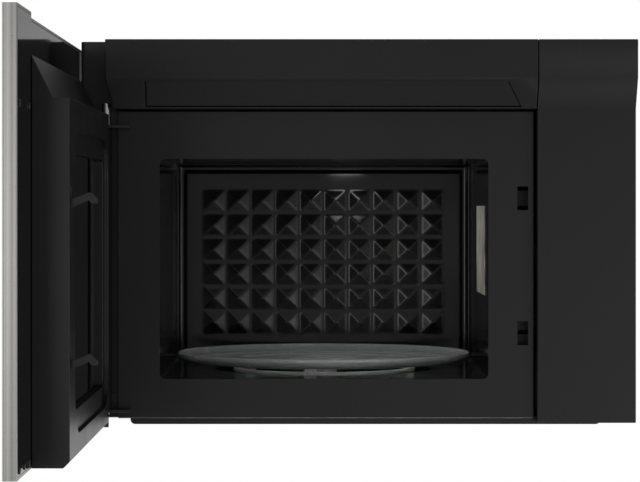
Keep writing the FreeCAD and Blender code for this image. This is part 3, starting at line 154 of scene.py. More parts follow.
def makeFloor():
    shape = bmesh.new()
    bmesh.ops.create_circle(shape, cap_ends=True, segments=96, radius=ground["radius"])
    mesh = bpy.data.meshes.new("floor")
    shape.to_mesh(mesh)
    shape.free()
    floor = bpy.data.objects.new("floor", mesh)
    floor.location = (0, -0.3, ground["height"])
    bpy.context.scene.collection.objects.link(floor)
    paint = bpy.data.materials.new("paleFloor")
    paint.use_nodes = True
    tree = paint.node_tree
    surface = tree.nodes["Principled BSDF"]
    surface.inputs["Base Color"].default_value = fromHex(ground["colour"])
    surface.inputs["Roughness"].default_value = 0.9
    floor.data.materials.append(paint)


makeCamera()
makeSky()
makeLamps()
makeFloor()
bpy.context.scene.view_settings.view_transform = "Standard"


# ---- finishes
print("stage: finishes")

finishes = {}


# a surface with its constant sockets; slotName is the record's material slot that it dresses
def newFinish(slotName, name, colour, roughness, metallic=0.0, **sockets):
    material = bpy.data.materials.new(name)
    material.use_nodes = True
    surface = material.node_tree.nodes["Principled BSDF"]
    surface.inputs["Base Color"].default_value = fromHex(colour)
    surface.inputs["Roughness"].default_value = roughness
    surface.inputs["Metallic"].default_value = metallic
    for socket, value in sockets.items():
        surface.inputs[socket.replace("_", " ")].default_value = value
    finishes[slotName] = material
    return material.node_tree, surface


# object coordinates in millimetres, stretched by "stretch" along each axis
def inMillimetres(tree, stretch=(1, 1, 1)):
    where = addNode(tree, "ShaderNodeTexCoord", {})
    scaled = addNode(tree, "ShaderNodeMapping", {"Vector": where.outputs["Object"],
                     "Scale": tuple(1000 * s for s in stretch)})
    return scaled.outputs["Vector"]


# a relief of depthMm from a height output, joined to the surface
def addRelief(tree, surface, height, depthMm):
    relief = addNode(tree, "ShaderNodeBump", {"Height": height, "Distance": depthMm * mm, "Strength": 1.0})
    tree.links.new(relief.outputs["Normal"], surface.inputs["Normal"])


# a value drawn from a pattern, between low and high
def addRange(tree, pattern, low, high, fromLow=0.3, fromHigh=0.7):
    drawn = addNode(tree, "ShaderNodeMapRange", {"Value": pattern, "From Min": fromLow, "From Max": fromHigh,
                    "To Min": low, "To Max": high})
    return drawn.outputs["Result"]


# a colour between two hex colours, by a factor output
def addTint(tree, factor, first, second):
    tint = addNode(tree, "ShaderNodeMix", {"Factor": factor, 6: fromHex(first), 7: fromHex(second)},
                   data_type="RGBA")
    return tint.outputs[2]


# Satin black paints and mouldings differ in grain: an orange peel of cured powder, the fine spark grain of a
# moulding tool, the smoother skin of enamel. Each entry: colours, roughness range, grain in mm, relief in mm.
satins = {
    "case_paint": {"name": "powderCoatedSteel", "colours": ("#080809", "#0c0c0d"), "rough": (0.42, 0.47),
                   "grainMm": 1.6, "reliefMm": 0.05, "specks": 0.0},
    "black_moulding": {"name": "sparkGrainAbs", "colours": ("#070708", "#0a0a0b"), "rough": (0.36, 0.41),
                       "grainMm": 0.7, "reliefMm": 0.02, "specks": 0.0},
    "door_moulding": {"name": "satinPolypropylene", "colours": ("#080808", "#0b0b0b"), "rough": (0.30, 0.35),
                      "grainMm": 0.8, "reliefMm": 0.015, "specks": 0.0},
    "frame_enamel": {"name": "satinEnamelledSteel", "colours": ("#080808", "#0c0c0b"), "rough": (0.34, 0.39),
                     "grainMm": 2.2, "reliefMm": 0.03, "specks": 0.25},
    "cavity_enamel": {"name": "semiGlossEnamelledSteel", "colours": ("#080807", "#0c0c0b"),
                      "rough": (0.12, 0.18), "grainMm": 6.0, "reliefMm": 0.015, "specks": 0.3},
    "black_bracket": {"name": "blackZincSteel", "colours": ("#18181a", "#242427"), "rough": (0.30, 0.42),
                      "grainMm": 2.5, "reliefMm": 0.02, "specks": 0.0},
    "black_screw": {"name": "blackOxideSteel", "colours": ("#1c1c1e", "#2a2a2c"), "rough": (0.28, 0.40),
                    "grainMm": 0.8, "reliefMm": 0.02, "specks": 0.0},
    "black_rubber": {"name": "mouldedRubber", "colours": ("#141414", "#1c1c1c"), "rough": (0.60, 0.75),
                     "grainMm": 1.0, "reliefMm": 0.03, "specks": 0.0},
    "screen_steel": {"name": "enamelledPerforatedSteel", "colours": ("#0c0c0c", "#131313"),
                     "rough": (0.35, 0.45), "grainMm": 1.5, "reliefMm": 0.02, "specks": 0.0},
}


def makeSatins():
    for slotName, look in satins.items():
        dark, light = look["colours"]
        tree, surface = newFinish(slotName, look["name"], dark, look["rough"][0])
        here = inMillimetres(tree)
        grain = addNode(tree, "ShaderNodeTexNoise",
                        {"Vector": here, "Scale": 1 / look["grainMm"], "Detail": 3.0})
        # handling and curing leave soft patches about 60 mm across
        patches = addNode(tree, "ShaderNodeTexNoise", {"Vector": here, "Scale": 1 / 60, "Detail": 2.0})
        base = addTint(tree, patches.outputs["Fac"], dark, light)
        if look["specks"]:
            # frit specks in the enamel, 0.9 mm apart, drawn twice as large so that they show
            frit = addNode(tree, "ShaderNodeTexVoronoi", {"Vector": here, "Scale": 1 / 1.8})
            speck = addRange(tree, frit.outputs["Distance"], look["specks"], 0.0, 0.05, 0.22)
            paler = addNode(tree, "ShaderNodeMix", {"Factor": speck, 6: base, 7: fromHex("#242422")},
                            data_type="RGBA")
            base = paler.outputs[2]
        tree.links.new(base, surface.inputs["Base Color"])
        tree.links.new(addRange(tree, patches.outputs["Fac"], *look["rough"]), surface.inputs["Roughness"])
        addRelief(tree, surface, grain.outputs["Fac"], look["reliefMm"])


# Brushed stainless: long hair lines from an abrasive belt, along the door's width. The soft bands up the turned
# ends, where the gloss would smear across the lines, are painted into the colour as painted reflection.
# Lines are about 0.1 mm; they are drawn 0.6 mm wide to show.
# the band colour and band width are painted reflection: lighter stripes that vary along x
stainless = {"colour": "#aaa9a6", "shade": "#959491", "band": "#bfbebb", "rough": (0.27, 0.40), "lineMm": 0.6,
             "lengthMm": 60, "bandMm": 4.5}


def makeStainless():
    tree, surface = newFinish("brushed_steel", "brushedStainlessSteel", stainless["colour"], 0.32, 1.0)
    along = 1 / stainless["lengthMm"]
    here = inMillimetres(tree, (along, along, 1 / stainless["lineMm"]))
    lines = addNode(tree, "ShaderNodeTexNoise", {"Vector": here, "Scale": 1.0, "Detail": 4.0})
    # painted reflection: stripes of lighter colour across x, in place of the gloss smeared up the turned ends
    across = inMillimetres(tree, (1 / stainless["bandMm"], 0.0, 0.0))
    bands = addNode(tree, "ShaderNodeTexNoise", {"Vector": across, "Scale": 1.0, "Detail": 2.0})
    brushed = addTint(tree, lines.outputs["Fac"], stainless["shade"], stainless["colour"])
    share = addRange(tree, bands.outputs["Fac"], 0.0, 1.0, 0.4, 0.65)
    banded = addNode(tree, "ShaderNodeMix", {"Factor": share, 6: brushed, 7: fromHex(stainless["band"])},
                     data_type="RGBA")
    tree.links.new(banded.outputs[2], surface.inputs["Base Color"])
    tree.links.new(addRange(tree, lines.outputs["Fac"], *stainless["rough"]), surface.inputs["Roughness"])
    addRelief(tree, surface, lines.outputs["Fac"], 0.006)


# Bare metals: colours, roughness range, pattern size in mm, pattern kind
bareMetals = {
    "galvanised_steel": {"name": "galvanisedSteel", "colours": ("#9ea2a4", "#bfc3c5"), "rough": (0.34, 0.52),
                         "sizeMm": 9.0, "kind": "spangle"},
    "zinc_screw": {"name": "zincPlatedSteel", "colours": ("#b3b3ad", "#cfcec7"), "rough": (0.22, 0.36),
                   "sizeMm": 2.0, "kind": "cloud"},
    "bright_pin": {"name": "turnedBrightSteel", "colours": ("#bdbbb6", "#dad8d3"), "rough": (0.14, 0.26),
                   "sizeMm": 0.5, "kind": "turned"},
    "filter_mesh": {"name": "expandedAluminium", "colours": ("#b2b4b5", "#d3d5d6"), "rough": (0.26, 0.40),
                    "sizeMm": 3.0, "kind": "cloud"},
    "magnetron_steel": {"name": "pressedSteel", "colours": ("#a9a9a4", "#c4c4bf"), "rough": (0.30, 0.42),
                        "sizeMm": 5.0, "kind": "cloud"},
    "bare_aluminium": {"name": "drawnAluminium", "colours": ("#b9bbbd", "#d5d7d8"), "rough": (0.24, 0.36),
                       "sizeMm": 0.6, "kind": "turned"},
    "core_steel": {"name": "varnishedLaminations", "colours": ("#2a211a", "#4a3d31"), "rough": (0.34, 0.50),
                   "sizeMm": 0.8, "kind": "turned"},
}


def makeBareMetals():
    for slotName, look in bareMetals.items():
        dark, light = look["colours"]
        tree, surface = newFinish(slotName, look["name"], light, look["rough"][0], 1.0)
        if look["kind"] == "turned":
            # tool marks and stacked sheets run round or across the height
            here = inMillimetres(tree, (0.02, 0.02, 1 / look["sizeMm"]))
            marks = addNode(tree, "ShaderNodeTexNoise", {"Vector": here, "Scale": 1.0, "Detail": 2.0})
            drawn = marks.outputs["Fac"]
        elif look["kind"] == "spangle":
            # zinc crystals, each with its own shade
            here = inMillimetres(tree)
            cells = addNode(tree, "ShaderNodeTexVoronoi", {"Vector": here, "Scale": 1 / look["sizeMm"]})
            drawn = addNode(tree, "ShaderNodeSeparateColor", {"Color": cells.outputs["Color"]}).outputs["Red"]
        else:
            here = inMillimetres(tree)
            drawn = addNode(tree, "ShaderNodeTexNoise", {"Vector": here, "Scale": 1 / look["sizeMm"],
                            "Detail": 3.0}).outputs["Fac"]
        tree.links.new(addTint(tree, drawn, dark, light), surface.inputs["Base Color"])
        tree.links.new(addRange(tree, drawn, *look["rough"], 0.0, 1.0), surface.inputs["Roughness"])
        addRelief(tree, surface, drawn, 0.01)


# Black sheet glass and gloss coated steel: nearly mirror smooth, with a faint roller wave and dust-fine haze
glosses = {
    "black_glass": {"name": "blackBackedGlass", "colour": "#050506", "rough": (0.03, 0.07), "waveMm": 0.01},
    "gloss_black": {"name": "glossCoatedSteel", "colour": "#070707", "rough": (0.05, 0.10), "waveMm": 0.01},
    "display_window": {"name": "smokedDisplayFilter", "colour": "#06090b", "rough": (0.05, 0.10),
                       "waveMm": 0.01},
}


def makeGlosses():
    for slotName, look in glosses.items():
        tree, surface = newFinish(slotName, look["name"], look["colour"], look["rough"][0], IOR=1.52)
        here = inMillimetres(tree)
        wave = addNode(tree, "ShaderNodeTexNoise", {"Vector": here, "Scale": 1 / 90, "Detail": 1.0})
        haze = addNode(tree, "ShaderNodeTexNoise", {"Vector": here, "Scale": 1 / 14, "Detail": 4.0})
        tree.links.new(addRange(tree, haze.outputs["Fac"], *look["rough"]), surface.inputs["Roughness"])
        addRelief(tree, surface, wave.outputs["Fac"], look["waveMm"])


# Clear pieces: soda glass has a faint green in its thickness, the inner pane is a smoked film
clears = {
    "clear_glass": {"name": "temperedSodaGlass", "colour": "#eef4f1", "rough": 0.04, "ior": 1.52,
                    "waveMm": 0.02, "clear": 0.78},
    "inner_film": {"name": "smokedFilm", "colour": "#8a8e8e", "rough": 0.03, "ior": 1.5, "waveMm": 0.01,
                   "clear": 1.0},
    "lamp_glass": {"name": "bulbGlass", "colour": "#fbf8ee", "rough": 0.05, "ior": 1.5, "waveMm": 0.0,
                   "clear": 1.0},
}


def makeClears():
    for slotName, look in clears.items():
        tree, surface = newFinish(slotName, look["name"], look["colour"], look["rough"], IOR=look["ior"],
                                  Transmission_Weight=look["clear"])
        here = inMillimetres(tree)
        wave = addNode(tree, "ShaderNodeTexNoise", {"Vector": here, "Scale": 1 / 25, "Detail": 2.0})
        addRelief(tree, surface, wave.outputs["Fac"], look["waveMm"])


# Pale mouldings: acetal rollers are milky and slightly waxy; the lamp lens is frosted
pales = {
    "white_moulding": {"name": "whiteAcetal", "colours": ("#e2e0da", "#efede8"), "rough": (0.28, 0.40),
                       "grainMm": 3.0},
    "frosted_lens": {"name": "frostedPolycarbonate", "colours": ("#dfe4e4", "#eef1f1"), "rough": (0.45, 0.60),
                     "grainMm": 0.8},
}


def makePales():
    for slotName, look in pales.items():
        dark, light = look["colours"]
        tree, surface = newFinish(slotName, look["name"], light, look["rough"][0], Subsurface_Weight=0.15,
                                  Subsurface_Scale=2 * mm)
        here = inMillimetres(tree)
        grain = addNode(tree, "ShaderNodeTexNoise",
                        {"Vector": here, "Scale": 1 / look["grainMm"], "Detail": 3.0})
        tree.links.new(addTint(tree, grain.outputs["Fac"], dark, light), surface.inputs["Base Color"])
        tree.links.new(addRange(tree, grain.outputs["Fac"], *look["rough"]), surface.inputs["Roughness"])
        addRelief(tree, surface, grain.outputs["Fac"], 0.015)


# Mica: pressed flakes with a silvery, streaked sheen along the sheet
mica = {"dark": "#5f5d57", "light": "#efece2", "streakMm": 1.4, "lengthMm": 30}


def makeMica():
    tree, surface = newFinish("mica", "pressedMica", mica["light"], 0.3, Coat_Weight=0.4, Coat_Roughness=0.2)
    here = inMillimetres(tree, (1 / mica["streakMm"], 1 / mica["streakMm"] / 4, 1 / mica["lengthMm"]))
    streaks = addNode(tree, "ShaderNodeTexNoise", {"Vector": here, "Scale": 1.0, "Detail": 3.0})
    factor = addRange(tree, streaks.outputs["Fac"], 0.0, 1.0, 0.35, 0.65)
    tree.links.new(addTint(tree, factor, mica["dark"], mica["light"]), surface.inputs["Base Color"])
    addRelief(tree, surface, streaks.outputs["Fac"], 0.03)


# Glass epoxy board: green lacquer over copper tracks 1.2 mm apart, drawn 4 mm apart so that they show
board = {"lacquer": "#12401f", "track": "#23683a", "pitchMm": 4.0}


def makeBoard():
    tree, surface = newFinish("circuit_board", "lacqueredEpoxyBoard", board["lacquer"], 0.35)
    here = inMillimetres(tree)
    tracks = addNode(tree, "ShaderNodeTexBrick", {"Vector": here, "Scale": 1 / board["pitchMm"],
                     "Mortar Size": 0.06, "Color1": fromHex(board["lacquer"]), "Color2": fromHex("#174a26"),
                     "Mortar": fromHex(board["track"])})
    tree.links.new(tracks.outputs["Color"], surface.inputs["Base Color"])
    addRelief(tree, surface, tracks.outputs["Fac"], 0.03)


# Charcoal pad: matt black granules about 2 mm across, painted paler on their tops and darker toward the gaps
# between them as painted shade
charcoal = {"dark": "#0d0d0d", "light": "#2b2b2b", "granuleMm": 2.2}


def makeCharcoal():
    tree, surface = newFinish("charcoal_pad", "charcoalGranules", charcoal["dark"], 0.9)
    here = inMillimetres(tree)
    granulesWithPaintedShade = addNode(tree, "ShaderNodeTexVoronoi", {"Vector": here, "Scale": 1 / charcoal["granuleMm"]})
    factor = granulesWithPaintedShade.outputs["Distance"]
    # painted shade: the colour runs from the pale granule tops to dark gaps, following the relief
    tree.links.new(addTint(tree, factor, charcoal["light"], charcoal["dark"]), surface.inputs["Base Color"])
    addRelief(tree, surface, factor, -0.5)


# White print fired on the door glass, slightly raised and matt; the clock glows a soft blue white
def makePrint():
    tree, surface = newFinish("print", "firedWhiteInk", "#c9cbcc", 0.5)
    here = inMillimetres(tree)
    grain = addNode(tree, "ShaderNodeTexNoise", {"Vector": here, "Scale": 2.0, "Detail": 2.0})
    tree.links.new(addTint(tree, grain.outputs["Fac"], "#b4b6b7", "#d2d4d5"), surface.inputs["Base Color"])
    tree, surface = newFinish("glow", "litClockSegments", "#b9dcea", 0.4, Emission_Color=fromHex("#a9dcf2"),
                              Emission_Strength=0.9)
    here = inMillimetres(tree)
    grain = addNode(tree, "ShaderNodeTexNoise", {"Vector": here, "Scale": 1.5, "Detail": 2.0})
    tree.links.new(addTint(tree, grain.outputs["Fac"], "#9fcadb", "#c6e6f2"), surface.inputs["Base Color"])


makeSatins()
makeStainless()
makeBareMetals()
makeGlosses()
makeClears()
makePales()
makeMica()
makeBoard()
makeCharcoal()
makePrint()


# ---- pieces
print("stage: pieces")

bodyOf = {node: body for body, nodes in frame["record"]["behaviour"]["bodies"].items() for node in nodes}
slotOf = {row["node"]: row["material_slot"] for row in frame["record"]["subparts"]}


def addPiece(name, mesh, slotName, body, *replaced, finish=None):
    mesh.materials.clear()
    mesh.materials.append(finishes[finish or slotName])
    piece = bpy.data.objects.new(name, mesh)
    bpy.context.scene.collection.objects.link(piece)
    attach(piece, body)
    if replaced:
        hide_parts(*replaced)
    return piece


# a mesh from corner points and faces, smooth shaded, with faces turned outwards
def makeMesh(name, corners, faces, outwards=True):
    mesh = bpy.data.meshes.new(name)
    mesh.from_pydata([tuple(c) for c in corners], [], faces)
    if outwards:
        shape = bmesh.new()
        shape.from_mesh(mesh)
        bmesh.ops.recalc_face_normals(shape, faces=shape.faces)
        shape.to_mesh(mesh)
        shape.free()
    mesh.shade_smooth()
    return mesh


# edges sharper than 35 degrees are rounded, and large flats keep flat shading
def breakEdges(piece, widthMm, segments=2):
    bevel = piece.modifiers.new("brokenEdges", "BEVEL")
    bevel.width = widthMm * mm
    bevel.segments = segments
    bevel.limit_method = "ANGLE"
    bevel.angle_limit = math.radians(35)
    bevel.use_clamp_overlap = False
    flats = piece.modifiers.new("flats", "WEIGHTED_NORMAL")
    flats.weight = 100


# how far the edges of each piece that keeps its CAD form are broken, in mm: sheet little, mouldings more
brokenEdges = {
    "case_roof": 0.3, "left_side_panel": 0.3, "right_side_panel": 0.3, "base_pan": 0.3, "bottom_cover": 0.4,
    "front_frame": 0.3, "cavity_liner": 0.3, "top_fascia": 0.8, "vent_cover": 1.1, "air_louvre": 0.3,
    "side_column": 0.9, "duct_collar": 0.3, "damper_flap": 0.3, "cord_bushing": 0.8,
    "upper_hinge_bracket": 0.5, "lower_hinge_bracket": 0.5, "hinge_pins": 0.5, "drive_coupler": 0.8,
    "roller_ring": 0.9, "turntable_motor": 0.6, "drive_shaft": 0.3, "waveguide_cover": 0.15, "lamp_housing": 0.3,
    "cavity_lamp": 0.3, "charcoal_filter": 1.5, "waveguide": 0.3, "magnetron": 0.2, "transformer": 0.5,
    "capacitor": 0.5, "cooling_fan_frame": 0.8, "cooling_fan_rotor": 0.3, "noise_filter_board": 0.3,
    "latch_switch_bracket": 0.3, "interlock_switches": 0.6, "blower_housing": 0.3, "blower_motor": 0.6,
    "blower_wheels": 0.2, "cooktop_lamp": 0.2, "door_shell": 0.3, "door_back_plate": 0.3, "door_liner": 0.8,
    "inner_pane": 0.3, "finger_pull": 0.4, "latch_lever": 0.6, "control_board": 0.3, "display_module": 0.3,
}


def dressNode(node, widthMm):
    shape = bmesh.new()
    shape.from_mesh(frame["nodes"][node].data)
    bmesh.ops.remove_doubles(shape, verts=shape.verts, dist=1e-6)
    bmesh.ops.dissolve_limit(shape, angle_limit=math.radians(0.5), verts=shape.verts, edges=shape.edges)
    mesh = bpy.data.meshes.new(node)
    shape.to_mesh(mesh)
    shape.free()
    mesh.shade_smooth()
    piece = addPiece(node + "_finished", mesh, slotOf[node], bodyOf[node], node)
    breakEdges(piece, widthMm)
    return piece


# the separate solids of a node that holds several, each as its lowest and highest corner
def looseBoxes(node):
    shape = bmesh.new()
    shape.from_mesh(frame["nodes"][node].data)
    bmesh.ops.remove_doubles(shape, verts=shape.verts, dist=1e-6)
    waiting = set(shape.verts)
    boxes = []
    while waiting:
        group = [waiting.pop()]
        for vert in group:
            near = [e.other_vert(vert) for e in vert.link_edges if e.other_vert(vert) in waiting]
            waiting.difference_update(near)
            group.extend(near)
        boxes.append((Vector(min(v.co[k] for v in group) for k in range(3)),
                      Vector(max(v.co[k] for v in group) for k in range(3))))
    shape.free()
    return sorted(boxes, key=lambda box: tuple(box[0]))


# a turned form: (radius, height) points in mm about an axis, from "place" along "axis"
def makeTurned(name, profile, place, axis=(0, 0, 1), steps=96):
    turn = Vector((0, 0, 1)).rotation_difference(Vector(axis)).to_matrix()
    corners = []
    rings = []
    for radius, height in profile:
        if radius == 0:
            rings.append([len(corners)] * steps)
            corners.append(turn @ Vector((0, 0, height * mm)) + Vector(place))
            continue
        rings.append(list(range(len(corners), len(corners) + steps)))
        for step in range(steps):
            angle = 2 * math.pi * step / steps
            spot = Vector((radius * math.cos(angle), radius * math.sin(angle), height)) * mm
            corners.append(turn @ spot + Vector(place))
    faces = []
    for here, after in zip(rings, rings[1:] + rings[:1]):
        for step in range(steps):
            following = (step + 1) % steps
            face = [here[step], here[following], after[following], after[step]]
            face = list(dict.fromkeys(face))
            if len(face) > 2:
                faces.append(face)
    return makeMesh(name, corners, faces)


for node, widthMm in brokenEdges.items():
    dressNode(node, widthMm)


# ---- cavity back: one pressed sheet with rows of shallow pyramids, coved into the walls
print("stage: cavity")

backPanel = {"stepMm": 1.5, "sheetMm": 1.0, "coveMm": 6.0, "borderMm": 10.8, "rampMm": 2.5, "raisedMm": 3.0,
             "columns": 10, "rows": 6, "pitchMm": 30.0, "pyramidMm": 26.6, "riseMm": 3.2, "softMm": 0.9}


def smoothMax(a, b, k):
    return (a + b + math.sqrt((a - b) ** 2 + k * k)) / 2


def smoothStep(t):
    t = max(0.0, min(1.0, t))
    return t * t * (3 - 2 * t)


# height in mm above the sheet, at dx, dz from the panel's middle
def pressedHeight(dx, dz, halfX, halfZ):
    look = backPanel
    edge = min(halfX - abs(dx), halfZ - abs(dz))
    if edge < look["coveMm"]:
        reach = look["coveMm"] - max(edge, 0.0)
        return look["coveMm"] - math.sqrt(look["coveMm"] ** 2 - reach ** 2)
    raised = look["raisedMm"] * smoothStep((edge - look["borderMm"] + look["rampMm"]) / look["rampMm"])
    spots = []
    for offset, count in ((dx, look["columns"]), (dz, look["rows"])):
        index = round(offset / look["pitchMm"] + (count - 1) / 2)
        index = max(0, min(count - 1, index))
        spots.append(abs(offset - (index - (count - 1) / 2) * look["pitchMm"]))
    share = 1 - smoothMax(*spots, look["softMm"]) / (look["pyramidMm"] / 2)
    toe = look["softMm"] / (look["pyramidMm"] / 2)
    bump = (share + math.sqrt(share * share + toe * toe)) / 2
    return raised + look["riseMm"] * bump * 0.97


def makeCavityBack():
    low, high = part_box("cavity_back")
    sheet = backPanel["sheetMm"] * mm
    middle = (low + high) / 2
    halfX = (high.x - low.x) / 2 - sheet
    halfZ = (high.z - low.z) / 2 - sheet
    columns = round(2 * halfX / (backPanel["stepMm"] * mm))
    rows = round(2 * halfZ / (backPanel["stepMm"] * mm))
    face = high.y - sheet
    corners = []
    for row in range(rows + 1):
        for column in range(columns + 1):
            dx = (column / columns * 2 - 1) * halfX
            dz = (row / rows * 2 - 1) * halfZ
            rise = pressedHeight(dx / mm, dz / mm, halfX / mm, halfZ / mm)
            corners.append((middle.x + dx, face - rise * mm, middle.z + dz))
    wide = columns + 1
    faces = [(r * wide + c, r * wide + c + 1, (r + 1) * wide + c + 1, (r + 1) * wide + c)
             for r in range(rows) for c in range(columns)]
    # the rim runs back to the sheet's rear face
    rim = [c for c in range(wide)] + [r * wide + columns for r in range(1, rows + 1)]
    rim += [rows * wide + c for c in range(columns - 1, -1, -1)] + [r * wide for r in range(rows - 1, 0, -1)]
    rear = len(corners)
    corners += [(corners[i][0], high.y, corners[i][2]) for i in rim]
    count = len(rim)
    faces += [(rim[i], rim[(i + 1) % count], rear + (i + 1) % count, rear + i) for i in range(count)]
    faces.append(tuple(range(rear, rear + count)))
    addPiece("cavity_back_pressed", makeMesh("cavity_back", corners, faces), "cavity_enamel", "root",
             "cavity_back")


makeCavityBack()

# ---- turntable: pressed glass plate with a rolled rim, rollers with a hollowed face
plate = {"footMm": 146, "footRiseMm": 0.35, "thickMm": 5.0, "wallMm": 4.2, "wellMm": 25, "rimMm": 1.6,
         "ridgesMm": (34, 78, 122), "ridgeMm": 0.35, "ridgeHalfMm": 1.2}


def makePlate():
    low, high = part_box("glass_turntable")
    radius = (high.x - low.x) / 2 / mm
    height = (high.z - low.z) / mm
    thick = plate["thickMm"]
    rim = plate["rimMm"]
    well = radius - plate["wellMm"]
    profile = [(0, 0), (plate["footMm"], 0), (plate["footMm"] + 3, plate["footRiseMm"]),
               (radius - 6, height - 7.2), (radius - 1.2, height - 4.6), (radius - 0.2, height - 3.4)]
    for step in range(9):
        angle = math.pi * step / 8
        profile.append((radius - rim - 0.1 + rim * math.cos(angle), height - rim + rim * math.sin(angle)))
    profile += [(radius - plate["wallMm"], height - 2.6), (well + 4, thick + 0.7), (well, thick)]
    for ridge in sorted(plate["ridgesMm"], reverse=True):
        for share in (1, 0.5, 0, -0.5, -1):
            profile.append((ridge + share * plate["ridgeHalfMm"],
                            thick + plate["ridgeMm"] * (1 - share * share)))
    profile.append((0, thick))
    centre = ((low.x + high.x) / 2, (low.y + high.y) / 2, low.z)
    addPiece("glass_turntable_plate", makeTurned("plate", profile, centre, steps=160), "clear_glass",
             "turntable", "glass_turntable")


roller = {"boreMm": 1.9, "widthMm": 8.0, "radiusMm": 7.7, "roundMm": 1.3, "hollowMm": 0.9}


def makeRollers():
    width = roller["widthMm"]
    radius = roller["radiusMm"]
    edge = roller["roundMm"]
    hollow = roller["hollowMm"]
    half = [(roller["boreMm"], 0), (roller["boreMm"] + 1.5, 0), (roller["boreMm"] + 1.9, hollow),
            (radius - edge - 1.2, hollow), (radius - edge - 0.8, 0.05), (radius - edge, 0)]
    for step in range(1, 5):
        angle = math.pi / 2 * step / 4
        half.append((radius - edge + edge * math.sin(angle), edge - edge * math.cos(angle)))
    profile = half + [(r, width - h) for r, h in reversed(half)]
    for joint in frame["joints"]:
        if joint["child"].startswith("roller_") and joint["child"] != "roller_ring":
            axis = Vector(joint["axis"]).normalized()
            start = Vector(joint["pos_m"]) - axis * width / 2 * mm
            mesh = makeTurned(joint["child"], profile, start, axis, steps=48)
            addPiece(joint["child"] + "_turned", mesh, "white_moulding", joint["child"], joint["child"])


makePlate()
makeRollers()


# ---- rear panel: one sheet with the wall hooks' slots and five pressed beads
print("stage: rear panel")

rearPanel = {"stepMm": 4.0, "beadWideMm": 16, "beadDeepMm": 1.6, "beadHeightsMm": (-150, -100, -50, 0, 50),
             "beadFromMm": -250, "beadToMm": 120, "slotWideMm": 40, "slotTallMm": 8, "slotSpacingMm": 420}


# how far the sheet is pressed in at x, z, in mm
def beadDepth(x, z):
    look = rearPanel
    half = look["beadWideMm"] / 2
    dx = max(look["beadFromMm"] - x, 0, x - look["beadToMm"])
    away = min(math.hypot(dx, z - height) for height in look["beadHeightsMm"])
    return look["beadDeepMm"] * smoothStep((half - away) / (half * 0.55))


# grid lines from low to high in mm, with extra lines where an edge has to lie
def gridLines(low, high, step, extra):
    count = max(1, round((high - low) / step))
    lines = [low + (high - low) * k / count for k in range(count + 1)]
    lines = [v for v in lines if all(abs(v - e) > step / 3 for e in extra)]
    return sorted(lines + list(extra))


def makeRearPanel():
    look = rearPanel
    low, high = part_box("rear_panel")
    hooks = next(mount for mount in frame["record"]["mounts"] if mount["name"] == "wall_hook_slots")
    slotZ = hooks["pos_m"][2] / mm
    slots = [(side * look["slotSpacingMm"] / 2 - look["slotWideMm"] / 2,
              side * look["slotSpacingMm"] / 2 + look["slotWideMm"] / 2) for side in (-1, 1)]
    zs = gridLines(low.z / mm, high.z / mm, look["stepMm"],
                   (slotZ - look["slotTallMm"] / 2, slotZ + look["slotTallMm"] / 2))
    xs = gridLines(low.x / mm, high.x / mm, look["stepMm"], [x for slot in slots for x in slot])
    corners = [(x * mm, high.y - beadDepth(x, z) * mm, z * mm) for z in zs for x in xs]
    wide = len(xs)
    faces = []
    for row in range(len(zs) - 1):
        for column in range(wide - 1):
            x = (xs[column] + xs[column + 1]) / 2
            z = (zs[row] + zs[row + 1]) / 2
            cut = abs(z - slotZ) < look["slotTallMm"] / 2 and any(a < x < b for a, b in slots)
            if not cut:
                start = row * wide + column
                faces.append((start, start + wide, start + wide + 1, start + 1))
    mesh = makeMesh("rear_panel", corners, faces, outwards=False)
    piece = addPiece("rear_panel_pressed", mesh, slotOf["rear_panel"], "root", "rear_panel")
    sheet = piece.modifiers.new("sheet", "SOLIDIFY")
    sheet.thickness = high.y - low.y
    sheet.offset = -1


makeRearPanel()

# ---- under the case: grease filters of expanded aluminium, frosted lamp lens, screws
print("stage: underside")

greaseFilter = {"rimMm": 7.0, "diamondMm": (9.0, 4.5), "strandMm": 0.8, "layers": 2, "meshMm": 2.6,
               "layerMm": 0.9, "lipMm": 0.8}


# flat strips that zigzag across, each touching the next at its points
def makeExpandedSheet(name, low, high, z, shift):
    pitch, rise = (size * mm for size in greaseFilter["diamondMm"])
    strand = greaseFilter["strandMm"] * mm
    columns = int((high.x - low.x) / (pitch / 2))
    rows = int((high.y - low.y) / rise)
    corners = []
    faces = []
    for row in range(rows):
        middle = low.y + (row + 0.5) * (high.y - low.y) / rows
        for column in range(columns + 1):
            swing = rise / 2 if (column + row + shift) % 2 else -rise / 2
            x = low.x + column * (high.x - low.x) / columns
            start = len(corners)
            for dy, dz in ((-strand / 2, -strand / 2), (strand / 2, -strand / 2),
                           (strand / 2, strand / 2), (-strand / 2, strand / 2)):
                corners.append((x, middle + swing * 0.92 + dy, z + dz + swing * 0.12))
            if column:
                for side in range(4):
                    after = (side + 1) % 4
                    faces.append((start - 4 + side, start - 4 + after, start + after, start + side))
        first = len(corners) - 4 * (columns + 1)
        faces.append((first + 3, first + 2, first + 1, first))
        faces.append(tuple(range(len(corners) - 4, len(corners))))
    mesh = bpy.data.meshes.new(name)
    mesh.from_pydata(corners, [], faces)
    return mesh


# a rectangular frame of one section: (inset, height) points in mm from the outer edge and the underside
def makeRimFrame(name, low, high, section):
    corners = []
    faces = []
    for sx, sy in ((0, 0), (1, 0), (1, 1), (0, 1)):
        for inset, height in section:
            x = low.x + inset * mm if sx == 0 else high.x - inset * mm
            y = low.y + inset * mm if sy == 0 else high.y - inset * mm
            corners.append((x, y, low.z + height * mm))
    count = len(section)
    for corner in range(4):
        for step in range(count):
            after = (step + 1) % count
            following = (corner + 1) % 4
            faces.append((corner * count + step, corner * count + after,
                          following * count + after, following * count + step))
    return makeMesh(name, corners, faces)


